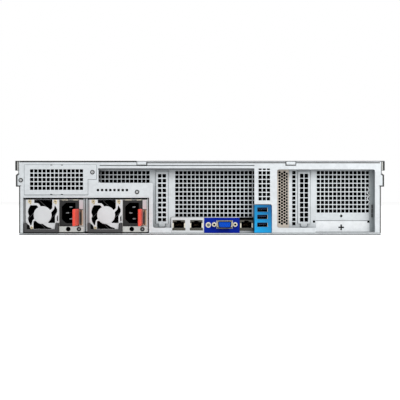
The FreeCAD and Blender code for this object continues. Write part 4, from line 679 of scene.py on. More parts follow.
def blanks():
    """The two perforated slot blanks, each in its seam."""
    near, far = 10.7, 11.5
    made = Piece()
    for middle, wide, tall in ((-45.35, 4.2, 4.2), (124.1, 4.3, 4.9)):
        outer = stepped(76.6, middle - 7.7, 13, middle - 4.2, 8.8, middle + 4.2, 13, middle + 7.7)
        holes = [eased(block(middle + side * 2.725, 17.8 + n * 5.82, wide, tall), 0.45, steps=3)
                 for side in (-1, 1) for n in range(10)]
        made.sheet(RECESS, eased(outer, 1.2, only=(3, 4)), near, far, holes)
        for side in (-1, 1):
            made.slab(SHADE, span(middle + side * 7.3, 0.2), (10.6, 10.75), (13.4, 76.2), 0.04)
        made.slab(SHADE, span(middle, 7.3), (10.6, 10.75), (74.9, 75.3), 0.04)
        foot = [(middle - 4.4, 13.2), (middle - 4.4, 10.2), (middle - 3.0, 8.9),
                (middle + 3.0, 8.9), (middle + 4.4, 10.2), (middle + 4.4, 13.2)]
        inner = [(x * 0.84 + middle * 0.16, z + (0.5 if z < 13 else 0)) for x, z in foot]
        made.sheet(SHADE, foot + inner[::-1], 10.55, 10.72, (), 0.03)
    made.ride("slot_blanks_punched", "chassis", "shaded_steel", "slot_blanks")


def screen():
    """The copper-coloured gasket screen, its round holes in staggered columns."""
    holes = [disc(94.9 + c * 2.95, 14.8 + r * 3.5 - 1.75 * (c % 2), 1.5, 12)
             for c in range(4) for r in range(18)]
    made = Piece()
    made.sheet(COPPER, rect(91.8, 106.0, 5.5, 81.7), 11, 11.5, holes, 0.08)
    made.ride("gasket_screen", "chassis", "copper_screen", "vent_screen")


# ---- ports

JACKS = (-25.2, -4.3, 55.4)
DISPLAY_SCREWS = (16.8, 41.8)
PORT_MIDDLE = 12.1
BUTTON = (10, 11.6)


def jacks():
    """The network jacks: a plated shell with pale side plates, and eight brown contacts in a dark
    mouth.
    """
    made = Piece()
    for x in JACKS:
        mouth = [(x - 5.9, 8.1), (x + 5.9, 8.1), (x + 5.9, 15.2), (x + 2.6, 15.2), (x + 2.6, 16.8),
                 (x - 2.6, 16.8), (x - 2.6, 15.2), (x - 5.9, 15.2)]
        made.sheet(OLIVE, eased(rect(x - 8, x + 8, 5, 17.4), 0.5), 9.2, 10.1, [mouth], 0.12)
        made.slab(OLIVE, span(x, 7.9), (9.05, 9.3), (5.1, 7.6), 0.1)
        made.sheet(SHADOW_BLACK, rect(x - 7.8, x + 7.8, 5.2, 17.2), 10.1, 23.1, [mouth], 0.05)
        made.slab(SHADOW_BLACK, span(x, 7.6), (23.1, 30.1), (5.4, 17.0))
        for side in (-1, 1):
            made.slab(CREAM, span(x + side * 6.9, 0.7), (9.0, 9.35), (8.4, 13.6), 0.15)
        for n in range(8):
            pin = x + (n - 3.5) * 1.02
            made.swept(BROWN, [(pin, 22.8, 15.0), (pin, 19.0, 14.8), (pin, 13.5, 11.2),
                               (pin, 13.0, 11.0)], 0.16, 4)

    # the frame round the third jack, over the labels
    made.slab(SOCKET, (46.9, 63.7), LABEL, (17.5, 20.4), 0.1)
    made.slab(CREAM, (53.6, 57.2), (9.1, 9.3), (18.2, 19.6), 0.1)
    made.sheet(SOCKET, rect(46.9, 63.9, 4.9, 20.5), *LABEL, [rect(47.4, 63.4, 5.0, 17.4)], 0.08)
    made.ride("jacks", "chassis", "jack_shell", "network_jacks")


def labels():
    """The plain and the blue port labels, with the button's ring."""
    jack = [rect(x - 7.4, x + 7.4, 5.0, 17.4) for x in JACKS]
    shell = rect(19.4, 39.2, 7.1, 17.1)
    press = disc(*BUTTON, 1.8)
    holes = [shell, press, *(disc(x, PORT_MIDDLE, 2.9, 20) for x in DISPLAY_SCREWS)]
    made = Piece()
    made.sheet(WHITE, eased(rect(-34.2, 4.6, 2.3, 20.6), 0.4), *LABEL, jack[:2], 0.08)
    made.sheet(BLUE, eased(rect(4.9, 47.2, 2.3, 20.2), 0.4), *LABEL, holes, 0.08)
    made.sheet(CREAM, disc(*BUTTON, 3.3, 40), 8.5, LABEL[0], [press], 0.2)
    made.ride("label_plates", "chassis", "blue_label", "port_labels")


def shield():
    """The plate behind the labels."""
    holes = [rect(x - 8.3, x + 8.3, 4.7, 17.7) for x in JACKS]
    holes += [rect(20.3, 38.3, 7.5, 16.7), disc(*BUTTON, 1.8)]
    holes += [block(x, PORT_MIDDLE, 5.7, 5.7) for x in DISPLAY_SCREWS]
    made = Piece()
    made.sheet(RECESS, rect(-34.5, 63.9, 1.0, 20.6), LABEL[1], 10, holes, 0.08)
    made.ride("port_shield", "chassis", "shaded_steel", "io_shield")


def display_port():
    """The display connector: shell, insert with rows of sockets, flange and six-sided screws."""
    middle = 29.3

    def shape(inset):
        top, low, wide = 16.2 - inset, 8.0 + inset, 8.4 - inset
        return eased([(middle - wide + 1.3, low), (middle + wide - 1.3, low), (middle + wide, top),
                      (middle - wide, top)], max(1.8 - inset * 0.6, 0.4))

    sockets = [disc(middle + (n - 2) * 2.1 + row % 2 * 0.8 - 0.4, PORT_MIDDLE + (row - 1) * 1.8,
                    0.4, 8) for row in range(3) for n in range(5)]
    wing = [(19.4, 9.8), (21.2, 9.0), (37.4, 9.0), (39.2, 9.8), (39.2, 14.4), (38.4, 15.4),
            (20.2, 15.4), (19.4, 14.4)]
    left = [(19.5, 14.4), (20.6, 15.6), (22.3, 15.3), (22.9, 9.9), (21.6, 8.7), (20.3, 9.0),
            (19.6, 10.2)]
    right = [(39.1, 14.4), (38.0, 15.6), (36.3, 15.3), (35.8, 9.9), (37.0, 8.7), (38.3, 9.0),
             (39.0, 10.2)]
    made = Piece()
    made.sheet(OLIVE, shape(0.0), 3.8, 9.5, [shape(0.4)], 0.12)
    made.sheet(BLUE, shape(0.4), 7.6, 9.9, [shape(1.0)], 0.1)
    made.sheet(INSERT, shape(1.0), 4.9, 9.9, sockets, 0.2)
    made.sheet(SHADOW_BLACK, shape(0.7), 9.8, 10, (), 0.05)
    made.sheet(CREAM, eased(wing, 0.6), 9.0, 9.6, [shape(-0.2)], 0.12)
    for lobe in (left, right):
        made.sheet(CREAM, lobe, 8.8, 9.0, (), 0.08)
    made.slab(STEEL_IN_SHADE, (13.9, 44.7), (10, 20), (6, 18.2), ease=0.8)
    for x in DISPLAY_SCREWS:
        made.sheet(CREAM, disc(x, PORT_MIDDLE, 2.7, 6, math.pi / 6), 5.0, 10,
                   [disc(x, PORT_MIDDLE, 1.3, 16)], 0.3)
        made.sheet(BRIGHT, disc(x, PORT_MIDDLE, 2.9, 24), 8.9, 9.2,
                   [disc(x, PORT_MIDDLE, 1.5, 16)], 0.1)
        made.sheet(SHADOW_BLACK, disc(x, PORT_MIDDLE, 1.3, 16), 6.4, 9, (), 0.05)
    made.ride("display_port", "chassis", "display_shell", "vga_connector")


def usb():
    """Three USB sockets in one moulding, with dark mouths, tongues and contacts."""
    middle, levels = 73.65, (12.1, 21.3, 29.9)
    slots = [eased(block(middle, z, 12.3, 5.1), 0.3, steps=2) for z in levels]
    made = Piece()
    made.sheet(USB, eased(stepped(2.8, 84.4, 35.6, 64.2), 2.6, only=(1,)), 0.4, 10.1, slots, 0.3)
    made.slab(USB, (64.3, 84.3), (10.1, 17), (5.0, 35.5))
    for z in levels:
        rim, mouth = block(middle, z, 12.3, 5.1), block(middle, z, 11.7, 4.5)
        made.sheet(STEEL_IN_SHADE, rim, 1.4, 10.1, [mouth], 0.08)
        # a painted highlight along each slot's right edge
        made.slab(CREAM, (79.45, 79.8), (0.7, 1.6), span(z, 2.5), 0.08)
        made.sheet(SHADOW_BLACK, mouth, 8.6, 10.1, (), 0.02)
        made.slab(TONGUE, (69.0, 78.3), (3.4, 8.6), (z + 0.1, z + 1.7))
        for n in range(4):
            made.slab(GOLD, (69.7 + n * 2.4, 70.7 + n * 2.4), (4.0, 8.4), (z - 0.05, z + 0.1))
    for z in (18.2, 26.9):
        made.slab(USB, (68.2, 79.4), (0.2, 0.5), span(z, 0.35), 0.15)
    made.ride("usb_sockets", "chassis", "light_blue_plastic", "usb_stack")


def rear_button():
    """The small round button in its ring."""
    profile = [(0.0, 7.7), (1.1, 7.75), (1.5, 7.9), (1.68, 8.2), (1.68, 12.7), (0.0, 12.7)]
    made = Piece()
    made.turned(MID, profile, BUTTON[0], 0, BUTTON[1], 28)
    made.ride("rear_button", "uid_button", "grey_button", "uid_button")


# ---- fan blades

def fan_blades(x, z, count, radii, depths, thick):
    """Curved blades with some thickness, from the hub to the tips, between two depths."""
    twist, lean, steps = 0.62, 0.16, 4
    wide = steps + 1
    verts, faces = [], []
    for blade in range(count):
        base = len(verts)
        for step in range(wide):
            radius = radii[0] + (radii[1] - radii[0]) * step / steps
            for k in range(wide):
                t = k / steps
                angle = 2 * math.pi * blade / count + twist * t + lean * step / steps
                depth = depths[0] + (depths[1] - depths[0]) * t - 4 * thick * math.sin(math.pi * t)
                verts += [(radius * math.cos(angle), depth + off, radius * math.sin(angle))
                          for off in (-thick, thick)]

        def quad(flipped, *corners):
            made = [base + (r * wide + k) * 2 + side for r, k, side in corners]
            faces.append(made[::-1] if flipped else made)

        for r in range(steps):
            for k in range(steps):
                for side in (0, 1):
                    quad(not side, (r, k, side), (r + 1, k, side), (r + 1, k + 1, side),
                         (r, k + 1, side))
            for k in (0, steps):
                quad(k, (r, k, 0), (r + 1, k, 0), (r + 1, k, 1), (r, k, 1))
                quad(not k, (k, r, 0), (k, r + 1, 0), (k, r + 1, 1), (k, r, 1))
    mesh = bpy.data.meshes.new("blades")
    mesh.from_pydata(verts, [], faces)
    mesh.transform(Matrix.Translation((x, 0, z)))
    return mesh


# ---- power supplies

def supply(number):
    """One power supply, drawn from the lower left corner of its rear face."""
    left = -207.2 + (number - 1) * 74.8
    body = f"psu_{number}"
    skin = 1.5                      # how far forward the steel skin of its rear face lies
    fan_x, fan_z = 21.7, 20.5

    # the case: a steel skin with a fan well and openings, on a darker body
    well = disc(fan_x, fan_z, 17.9, 48)
    inlet = rect(41.5, 64.5, 7.7, 38.2)
    catch = rect(64.5, 69.0, 8.5, 26.3)
    hole = disc(52, 4.1, 2.75, 24)
    inner = rect(0.1, 69.9, 0.1, 39.9)
    made = Piece(left, FOOT)
    made.sheet(BRIGHT, rect(0, 70, 0, 40), skin, 2.5,
               [rect(2.6, 40.8, 1.6, 39.0), inlet, catch, hole], 0.1)
    made.sheet(BLACK, rect(2.7, 40.7, 1.7, 38.9), 1.6, 3.0, [well], 0.15)
    made.sheet(BLACK, inner, 3.0, 16.5, [well, inlet, catch, hole], 0.05)
    made.sheet(SHADOW_BLACK, inner, 16.5, 26.0, [inlet, catch], 0.05)
    made.slab(BRIGHT, (0, 70), (26.0, 186.5), (0, 40), ease=0.6)
    # painted shade: a dark line along the top of the face, a grey strip down its left edge and a
    # black notch at its foot
    made.slab(SHADOW_BLACK, (0, 70), (0.9, skin), (38.9, 40))
    made.slab(EDGE, (0, 1.9), (1.2, skin), (11.0, 38.9), 0.05)
    made.slab(SHADOW_BLACK, (0, 0.5), (1.0, skin), (0.2, 11.0), 0.05)
    made.slab(BROWN, (66.0, 68.0), (1.2, skin), (8.5, 26.3), 0.1)
    made.sheet(BRIGHT, rect(41.2, 70, 0.3, 7.2), 0.5, skin, [hole], 0.12)
    # a painted shadow line under the inlet opening
    made.slab(SHADOW_LINE, (41.3, 70), (1.2, skin), (7.2, 7.7), 0.05)
    made.slab(CREAM, (44.2, 51.6), (0.8, skin), (38.0, 38.8), 0.1)
    made.slab(CREAM, (57.8, 63.4), (0.8, skin), (38.0, 38.8), 0.1)
    made.slab(PINK, (64.7, 69.4), (0.6, skin), (27.6, 38.2), 0.25)
    # a painted shadow line under the pale block
    made.slab(SHADOW_LINE, (64.7, 69.4), (0.9, skin), (26.5, 27.2), 0.1)
    for x, width, finish in ((64.7, 1.3, TAN), (68.0, 1.1, TAN), (69.0, 0.5, CREAM)):
        made.slab(finish, (x, x + width), (0.7, skin), (8.4, 26.3))
    strut = [(-4.5, 17.3), (-4.1, 17.6), (5.3, 8.5), (4.9, 8.2)]
    for quarter in range(4):
        arm = shifted(spun(strut, quarter * math.pi / 2), fan_x, fan_z)
        made.sheet(DARK, arm, 3.0, 4.2, (), 0.1)
    made.sheet(SOCKET, disc(64.6, 4.0, 2.7, 28), 0.3, 0.5, (), 0.05)
    made.sheet(EDGE, disc(64.6, 4.0, 1.0, 16), 0.15, 0.3, (), 0.06)
    made.ride(f"{body}_shell", body, "supply_steel", f"{body}_case")

    # the pinwheel guard: one stamped sheet with swept openings round a raised disc
    def arc(first, last):
        return [(fan_x + 10.6 * math.cos(turn), fan_z + 10.6 * math.sin(turn))
                for turn in (math.radians(first + (last - first) * n / 9) for n in range(10))]

    openings = [
        [(7.2, 32.0), (14.5, 32.2), (15.9, 30.8), *arc(117, 203), (9.7, 14.1), (8.6, 8.4),
         (7.4, 8.9), (5.3, 12.5), (4.3, 16.8), (5.8, 19.5), (4.3, 23.9), (5.0, 27.6)],
        [(11.9, 38.6), (11.9, 34.7), (16.1, 34.6), (18.0, 33.0), *arc(103, 34), (33.1, 28.6),
         (33.1, 38.6)],
        [(36.1, 32.2), (38.9, 27.4), (38.9, 24.4), (36.3, 19.5), (36.3, 11.2), (28.4, 11.2),
         *arc(-50, 17), (35.2, 27.4)],
        [(11.0, 4.1), (11.0, 13.4), (12.6, 13.6), *arc(-141, -88), (27.5, 6.5), (32.6, 5.0),
         (31.4, 4.1)],
        [(39.8, 21.2), (38.3, 17.9), (38.5, 13.3), (39.8, 13.3)]]
    plate = [(2.1, 11.2), (2.1, 38.8), (41.0, 38.8), (41.0, 11.2), (36.9, 10.6), (36.2, 3.4),
             (7.6, 3.4), (6.2, 8.4)]
    face = 0.6
    made = Piece(left, FOOT)
    made.sheet(GUARD, disc(fan_x, fan_z, 10.15, 48), 0.35, 1.4, (), 0.35)
    made.sheet(GUARD, plate, face, skin, [eased(loop, 0.35, steps=2) for loop in openings], 0.15)
    for side, small in ((-1, 7.6), (1, 37.4)):
        screw(made, fan_x + side * 15.0, face, fan_z + 16.1, 2.1, 0.6, BRASS_SCREW, 0.2 + side)
        screw(made, small, face, 34.3, 1.0, 0.4, BRASS_SCREW, 0.9)
    screw(made, 9.0, face, 5.6, 1.6, 0.5, BRASS_SCREW, 0.7)
    made.ride(f"{body}_guard", body, "guard_steel", f"{body}_fan_guard")

    # the fan
    hub = [(0, 5.1), (7.4, 5.1), (8.0, 5.7), (8.0, 15.2), (0, 15.2)]
    x, z = left + fan_x, FOOT + fan_z
    made = Piece()
    made.add(SHADOW_BLACK, fan_blades(x, z, 7, (7.2, 17.0), (6.0, 12.0), 0.3))
    made.turned(BLACK, hub, x, 0, z)
    made.ride(f"{body}_blades", f"{body}_rotor", "black_plastic", f"{body}_fan_rotor")

    # the mains inlet
    mouth = eased([(48.9, 11.0), (60.3, 11.0), (60.3, 35.0), (48.9, 35.0), (44.3, 30.4),
                   (44.3, 15.5)], 1.0)
    made = Piece(left, FOOT)
    made.sheet(SOCKET, eased(rect(41.5, 64.5, 7.7, 37.8), 1.0), 1.0, 3.0, [mouth], 0.4)
    made.sheet(SHADOW_BLACK, rect(41.7, 64.3, 7.9, 38.0), 3.0, 18.5, [mouth], 0.05)
    made.slab(SHADOW_BLACK, (41.7, 64.3), (18.5, 25.5), (7.9, 38.0))
    for x, z in ((50.3, 22.95), (54.3, 29.95), (54.3, 15.95)):
        made.slab(EDGE, span(x, 1.7), (4.8, 18.6), span(z, 0.7), 0.35)
    made.ride(f"{body}_socket", body, "dark_grey_plastic", f"{body}_inlet")

    # the red release tab
    tab = [(61.7, 8.4), (64.2, 8.4), (64.7, 10.4), (64.7, 27.9), (61.5, 27.9), (61.5, 10.0)]
    tab = eased(eased(tab, 1.5, only=(3, 4), steps=6), 0.5, only=(0, 1), steps=3)
    made = Piece(left, FOOT)
    made.sheet(RED, tab, -25.0, -0.1, (), 0.7)
    made.slab(EDGE, (64.9, 67.1), (-1.6, -0.1), (10.4, 24.4))
    made.slab(EDGE, (65.6, 67.1), (-1.6, 23.2), (10.4, 24.4))
    for n in range(5):
        z = 12.0 + n * 2.6
        made.slab(RED, (61.35, 61.6), (-23.0, -15.0), (z, z + 1.2), 0.1)
    made.ride(f"{body}_release", f"{body}_latch", "red_plastic", f"{body}_latch")

    # the bail handle
    bail = [(0.3, 0.3), (40.9, 0.3), (40.9, 11.6), (37.5, 11.6), (37.5, 4.0), (3.7, 4.0),
            (3.7, 11.6), (0.3, 11.6)]
    made = Piece(left, FOOT)
    made.sheet(DARK, eased(bail, 0.9, steps=3), -2.2, 0.0, (), 0.5)
    made.ride(f"{body}_bail", f"{body}_handle", "dark_grey_plastic", f"{body}_handle")


# ---- tray and covers

def tray():
    """The floor and side walls with their ribs, pads and slots, and the folded hem at the back."""
    left, right, _, front, low, top = box_of("chassis_tray")
    wall = 1.0
    floor_holes = [pill(x, y, 3.4, 12) for x in (-180, -60, 60, 180) for y in (40, 250, 520, 680)]
    floor_holes += [disc(x, y, 2.0, 16) for x in (-120, 0, 120) for y in (120, 420, 600)]
    made = Piece()
    made.flat(PANEL, rect(left, right, 1, front), low, low + wall, floor_holes)
    for x in (-150, -50, 50, 150):
        rib = eased(rect(x - 14, x + 14, 60, 660), 10)
        made.flat(PANEL, rib, low + wall, low + wall + 0.5, (), 0.4)
    slots = [pill(start + n * 15, z, 9, 3.2)
             for start, z, count in ((540, 48.0, 11), (540, 56.0, 11), (205, 66.0, 9))
             for n in range(count)]
    for side in (-1, 1):
        made.side(PANEL, rect(1, front, wall, top), *mirrored(side, right - wall, right), slots)
        face = mirrored(side, right, right + 0.45)
        for y in STUDS:
            made.side(PANEL, eased(rect(y - 15, y + 15, 20, 40), 3), *face, (), 0.4)
            for y_screw in (y - 24, y + 24):
                made.side(SCREW, disc(y_screw, 30, 2.6, 20), *face, (), 0.3)
        for start, end, high in ((96, 314, 52), (366, 584, 30), (96, 314, 30), (20, 500, 8)):
            made.side(PANEL, eased(rect(start, end, high - 2.6, high + 2.6), 2.5), *face, (), 0.42)
    for side in (-1, 1):
        # black strips behind the upper slots: painted shade
        made.slab(BLACK, mirrored(side, right - 1.05, right - 1.6), (196, 336), (62, 70))

    # the hem, with a dark line along its top, partly a seam and partly painted shadow, and a
    # painted contact shadow along its foot
    made.slab(SEAM_AND_SHADOW, (left, right), (0.3, 1), (1.95, 2.7), 0.1)
    made.side(PANEL, eased(rect(0, 3, 0.8, 1.95), 0.5), left + 0.2, right - 0.2, (), 0.1)
    made.slab(SHADOW_LINE, (left, right), (0.2, 3), (low, 0.8), 0.1)
    made.ride("tray", "chassis", "galvanised_steel", "chassis_tray")


def lid(made, start, end, top, fields, holes=()):
    """A cover's top: a sheet with raised fields and bright folded side flanges."""
    half, flange = 217.5, 11.5
    made.flat(COVER, rect(-half, half, start, end), top - 1, top - 0.45, holes, 0.12)
    for x0, x1, y0, y1, round_by in fields:
        cut = [h for h in holes if x0 < h[0][0] < x1 and y0 < h[0][1] < y1]
        made.flat(COVER, eased(rect(x0, x1, y0, y1), round_by), top - 0.45, top, cut, 0.3)
    for side in (-1, 1):
        x = mirrored(side, half - 1, half)
        made.side(COVER, rect(start, end, top - flange, top - 1), *x, (), 0.2)
        made.slab(COVER, mirrored(side, half - 6, half), (start, end), (top - 0.45, top), 0.3)
        for n in range(3):
            y = start + (end - start) * (n + 0.5) / 3
            bump = mirrored(side, half - 0.25, half)
            made.side(DARK_EDGE, pill(y, top - 6.4, 16, 4.0), *bump, (), 0.1)


def covers():
    """The lift-off cover with its latch pan and rear hooks, and the fixed one over the drives."""
    left, right, rear, front, low, top = box_of("top_cover")
    pan = rect(-48.3, 48.3, 378.5, 411.5)
    fields = [(-208, 208, 9, 22, 4), (-206, -76, 30, 356, 12), (-68, 68, 30, 356, 12),
              (76, 206, 30, 356, 12), (-206, -62, 366, 424, 8), (62, 206, 366, 424, 8),
              (-206, 206, 434, 524, 10)]
    made = Piece()
    lid(made, rear, front, top, fields, [pan])
    hook = -74.8, -62.4
    # the rear edge: painted shade, near-black left of the hook and mid-grey right of it
    for finish, x in ((SHADOW_LINE, (left, hook[0])), (EDGE, (hook[1], right)), (COVER, hook)):
        made.slab(finish, x, (rear, rear + 0.5), (top - 1, top), 0.1)
    made.slab(COVER, (left + 1, right - 1), (rear + 0.5, rear + 7), (top - 0.6, top), 0.3)
    for side in (-1, 1):
        # painted shade on the rear ends of the side flanges
        made.slab(SHADOW_LINE, mirrored(side, right - 2.2, right), (rear, rear + 0.5), (low, top - 1), 0.1)
    for middle in (-68.6, 107.1):
        made.slab(PANEL, span(middle, 5.3), (rear, rear + 1), (82.9, 86.5))

    # the pan that the latch lies in
    floor, edge, start, end = 81.3, 49.3, 377.5, 412.5
    rise = floor + 1, top - 1
    made.slab(COVER, (-edge, edge), (start, end), (floor, floor + 1))
    made.slab(COVER, (-edge, edge), (start, start + 1), rise)
    made.slab(COVER, (-edge, edge), (end - 1, end), rise)
    for side in (-1, 1):
        made.slab(COVER, mirrored(side, edge - 1, edge), (start + 1, end - 1), rise)
    made.ride("lift_cover", "cover", "cover_steel", "top_cover")

    _, _, rear, front, _, top = box_of("front_cover")
    made = Piece()
    lid(made, rear, front, top, [(x0, x1, rear + 10, front - 14, 10)
                                 for x0, x1 in ((-206, -72), (-64, 64), (72, 206))])
    cap = [(0, -0.7), (3.0, -0.7), (3.0, -0.55), (2.6, -0.25), (0, -0.25)]
    for x in (-200, -68, 68, 200):
        for y in (rear + 5, front - 7):
            made.turned(SCREW, cap, x, y, top, 20, along="z")
    made.ride("drive_cover", "chassis", "cover_steel", "front_cover")


def latch():
    """The cover's flat lever, with a finger hollow, grip ribs and a coin lock."""
    left, right, rear, front, low, top = box_of("cover_latch")
    third = right / 3
    lock_x, lock_y = 34, rear + 15
    shape = [(left, rear), (-third, rear), (-third, rear + 9.6), (third, rear + 9.6),
             (third, rear), (right, rear), (right, front), (left, front)]
    made = Piece()
    made.flat(DARK, eased(shape, 1.6), low, top - 0.4, [disc(lock_x, lock_y, 6.2, 32)], 0.5)
    made.flat(MID, eased(rect(-third, third, rear, rear + 10.4), 0.6), low, top - 1.6, (), 0.3)
    for n in range(7):
        made.flat(DARK, pill(-27 - n * 2.6, lock_y, 1.2, 16), top - 0.45, top, (), 0.3)
    slot = shifted(rect(-4.4, 4.4, -0.7, 0.7), lock_x, lock_y)
    made.flat(SCREW, disc(lock_x, lock_y, 5.8, 32), low, top - 0.5, [slot], 0.35)
    made.flat(SHADOW_BLACK, disc(lock_x, lock_y, 5.6, 24), low, low + 0.6, (), 0.05)
    made.ride("cover_lever", "cover_latch", "dark_grey_plastic", "cover_latch")


# ---- front end

def ears():
    """The rack ears: brushed plates with two slots, a wrap on the side wall, and a rounded grip."""
    _, right, rear, _, low, top = box_of("rack_ears")
    wall, back, face = 213, 717, 720
    grip = [(face, 10.75), (758, 10.75), (758, 76.75), (face, 76.75), (face, 67.75), (749, 67.75),
            (749, 19.75), (face, 19.75)]
    grip = eased(eased(grip, 8.0, only=(1, 2), steps=7), 4.0, only=(19, 20), steps=5)
    holes = [disc(700, 16, 2.2, 16), disc(700, 60, 2.2, 16), disc(706, 38, 1.6, 16)]
    made = Piece()
    for side in (-1, 1):
        slots = [pill(side * 232.55, z, 11, 7) for z in (5.65, 81.85)]
        plate = eased(rect(*mirrored(side, wall, right), low, top), 2.0, steps=3)
        made.sheet(EAR, plate, back, face, slots, 0.35)
        wrap = eased(rect(rear, back, 3, 73), 2.5)
        made.side(EAR, wrap, *mirrored(side, wall, wall + 1.5), holes, 0.25)
        for z in (16, 60):
            made.side(SCREW, disc(700, z, 2.1, 20), *span(side * 213.9, 0.5), (), 0.25)
        made.side(DARK, grip, *mirrored(side, 219, 231), (), 3.4)
        for foot in ((8.9, 21.6), (65.9, 78.6)):
            made.slab(DARK, mirrored(side, 217.5, 232.5), (719.6, 720.9), foot, 0.5)
        made.sheet(SCREW, disc(side * 225, 43.75, 3.6, 24), face, face + 0.8, (), 0.4)
    for n in range(4):
        made.sheet(GLOW, disc(-225, 30.5 - n * 3.6, 1.0, 12), 719.9, 720.35, (), 0.2)
    made.ride("ears", "chassis", "ear_metal", "rack_ears")


def studs():
    """Shoulder studs that drop into the rack's rails."""
    profile = [(0, 0), (3.0, 0), (3.0, 0.6), (2.1, 0.9), (2.1, 2.6), (3.0, 2.9), (3.0, 3.6),
               (2.6, 3.9), (1.2, 3.9), (1.0, 3.3), (0, 3.3)]
    made = Piece()
    for side in (-1, 1):
        for y in STUDS:
            made.turned(SCREW, [(r, side * d) for r, d in profile], side * 213, y, 30, 28,
                        along="x")
    made.ride("studs", "chassis", "screw_steel", "rail_studs")


def drive_bay():
    """The drive cage, and the strip above it with its slots, mesh, lights and button ring."""
    left, right, rear, front, _, top = box_of("drive_cage")
    pitch, rise, rows = 105.6, 29.2, 2
    half = 2 * pitch + 0.5
    made = Piece()
    for row in range(rows):
        z = 1 + row * rise
        made.slab(PANEL, (-half, half), (rear, front), (z, z + 1))
        for column in range(5):
            made.slab(PANEL, span((column - 2) * pitch, 0.5), (rear, front), (z + 1, z + rise))
    base = 1 + rows * rise
    made.slab(PANEL, (-half, half), (rear, front - 2), (base, base + 1))

    middles = [-117 + n * 18 for n in range(14)]
    slots = [eased(block(x, 71.6, 13, 9), 1.4, steps=4) for x in middles]
    ring = disc(186, 74.5, 4.6, 40)
    face = eased(rect(left, right, base, top), 1.2, steps=3)
    made.sheet(CARRIER, face, front - 2, front, [*slots, ring], 0.3)
    made.slab(BLACK, (-130, 130), (front - 4.4, front - 3.6), (base + 4, top - 4))
    made.sheet(MID, disc(186, 74.5, 7.6, 48), front - 0.6, front + 0.4, [ring], 0.3)
    for x in middles:
        for k in range(3):
            made.slab(BLACK, span(x - 3.25 + k * 3.25, 0.35), (front - 1.6, front - 1.0),
                      (67.2, 76.0), 0.1)
        made.slab(BLACK, span(x, 6.4), (front - 1.7, front - 1.1), (71.3, 71.9), 0.1)
    for n in range(4):
        made.slab(MID if n else GLOW, (160 + n * 5, 163 + n * 5), (front - 0.1, front + 0.3),
                  (73.7, 75.3), 0.2)
    for x in (-205, 205):
        made.sheet(SCREW, disc(x, 64.5, 2.6, 24), front, front + 0.5, (), 0.25)
    made.ride("drive_bay", "chassis", "galvanised_steel", "drive_cage")


def drives():
    """The carriers: a tray with its drive, a bezel with honeycomb slots and lights, and a lever."""
    for n in range(1, 9):
        left, right, rear, front, low, top = box_of(f"drive_carrier_{n}")
        middle, back, tray_top = (left + right) / 2, front - 12.0, low + (top - low) * 0.22
        recess = rect(middle - 45, middle + 45, low + 3.6, low + 15.8)
        vents = [disc(middle - 43 + k * 6.2 + row * 3.1, low + 19.4 + row * 4.6, 2.1, 6,
                      math.pi / 6) for row in range(2) for k in range(13)]
        bezel = eased(rect(left, right, low, top), 1.4, steps=4)
        made = Piece()
        made.sheet(CARRIER, bezel, front - 4, front, [recess, *vents], 0.45)
        made.sheet(BLACK, bezel, back, front - 4, [recess], 0.3)
        made.slab(BLACK, span(middle, 45), (back + 2, front - 7), (low + 3.6, low + 15.8))
        made.slab(BRIGHT, (left + 0.2, right - 0.2), (rear, back), (low, tray_top))
        made.slab(EDGE, (left + 1.6, right - 1.6), (rear + 4, back), (tray_top, top - 3.4), 0.6,
                  ease=1.0)
        for finish, z in ((GLOW, low + 22.0), (MID, low + 18.6)):
            made.slab(finish, (right - 9.5, right - 4.5), (front - 0.2, front), (z, z + 1.2), 0.1)
        made.ride(f"carrier_{n}", f"drive_{n}", "carrier_plastic", f"drive_carrier_{n}")

        left, right, rear, front, low, top = box_of(f"carrier_lever_{n}")
        middle = (low + top) / 2
        grip = eased(rect(right - 15, right - 3, low + 2.2, top - 2.2), 1.4, steps=4)
        made = Piece()
        made.sheet(DARK, eased(rect(left, right, low, top), 1.8, steps=4), rear, front, [grip], 0.7)
        made.sheet(RED, grip, rear, rear + 1.2, (), 0.2)
        for k in range(9):
            rib = pill(left + 14 + k * 4.2, middle, 1.4, 6.4)
            made.sheet(MID, rib, front - 0.1, front, (), 0.04)
        made.sheet(SCREW, disc(left + 5.5, middle, 2.4, 24), front - 0.1, front, (), 0.04)
        made.ride(f"lever_{n}", f"drive_{n}_lever", "dark_grey_plastic", f"carrier_lever_{n}")


def front_button():
    """The power button: a domed cap with a lit centre."""
    left, right, rear, front, low, top = box_of("power_button")
    x, z = (left + right) / 2, (low + top) / 2
    profile = [(0, rear), (4.4, rear), (4.4, front - 0.6), (3.8, front), (2.0, front - 0.35),
               (0, front - 0.35)]
    made = Piece()
    made.turned(MID, profile, x, 0, z)
    made.sheet(GLOW, disc(x, z, 1.4, 20), front - 0.5, front - 0.2, (), 0.1)
    made.ride("front_button", "power_button", "grey_button", "power_button")


# ---- inside

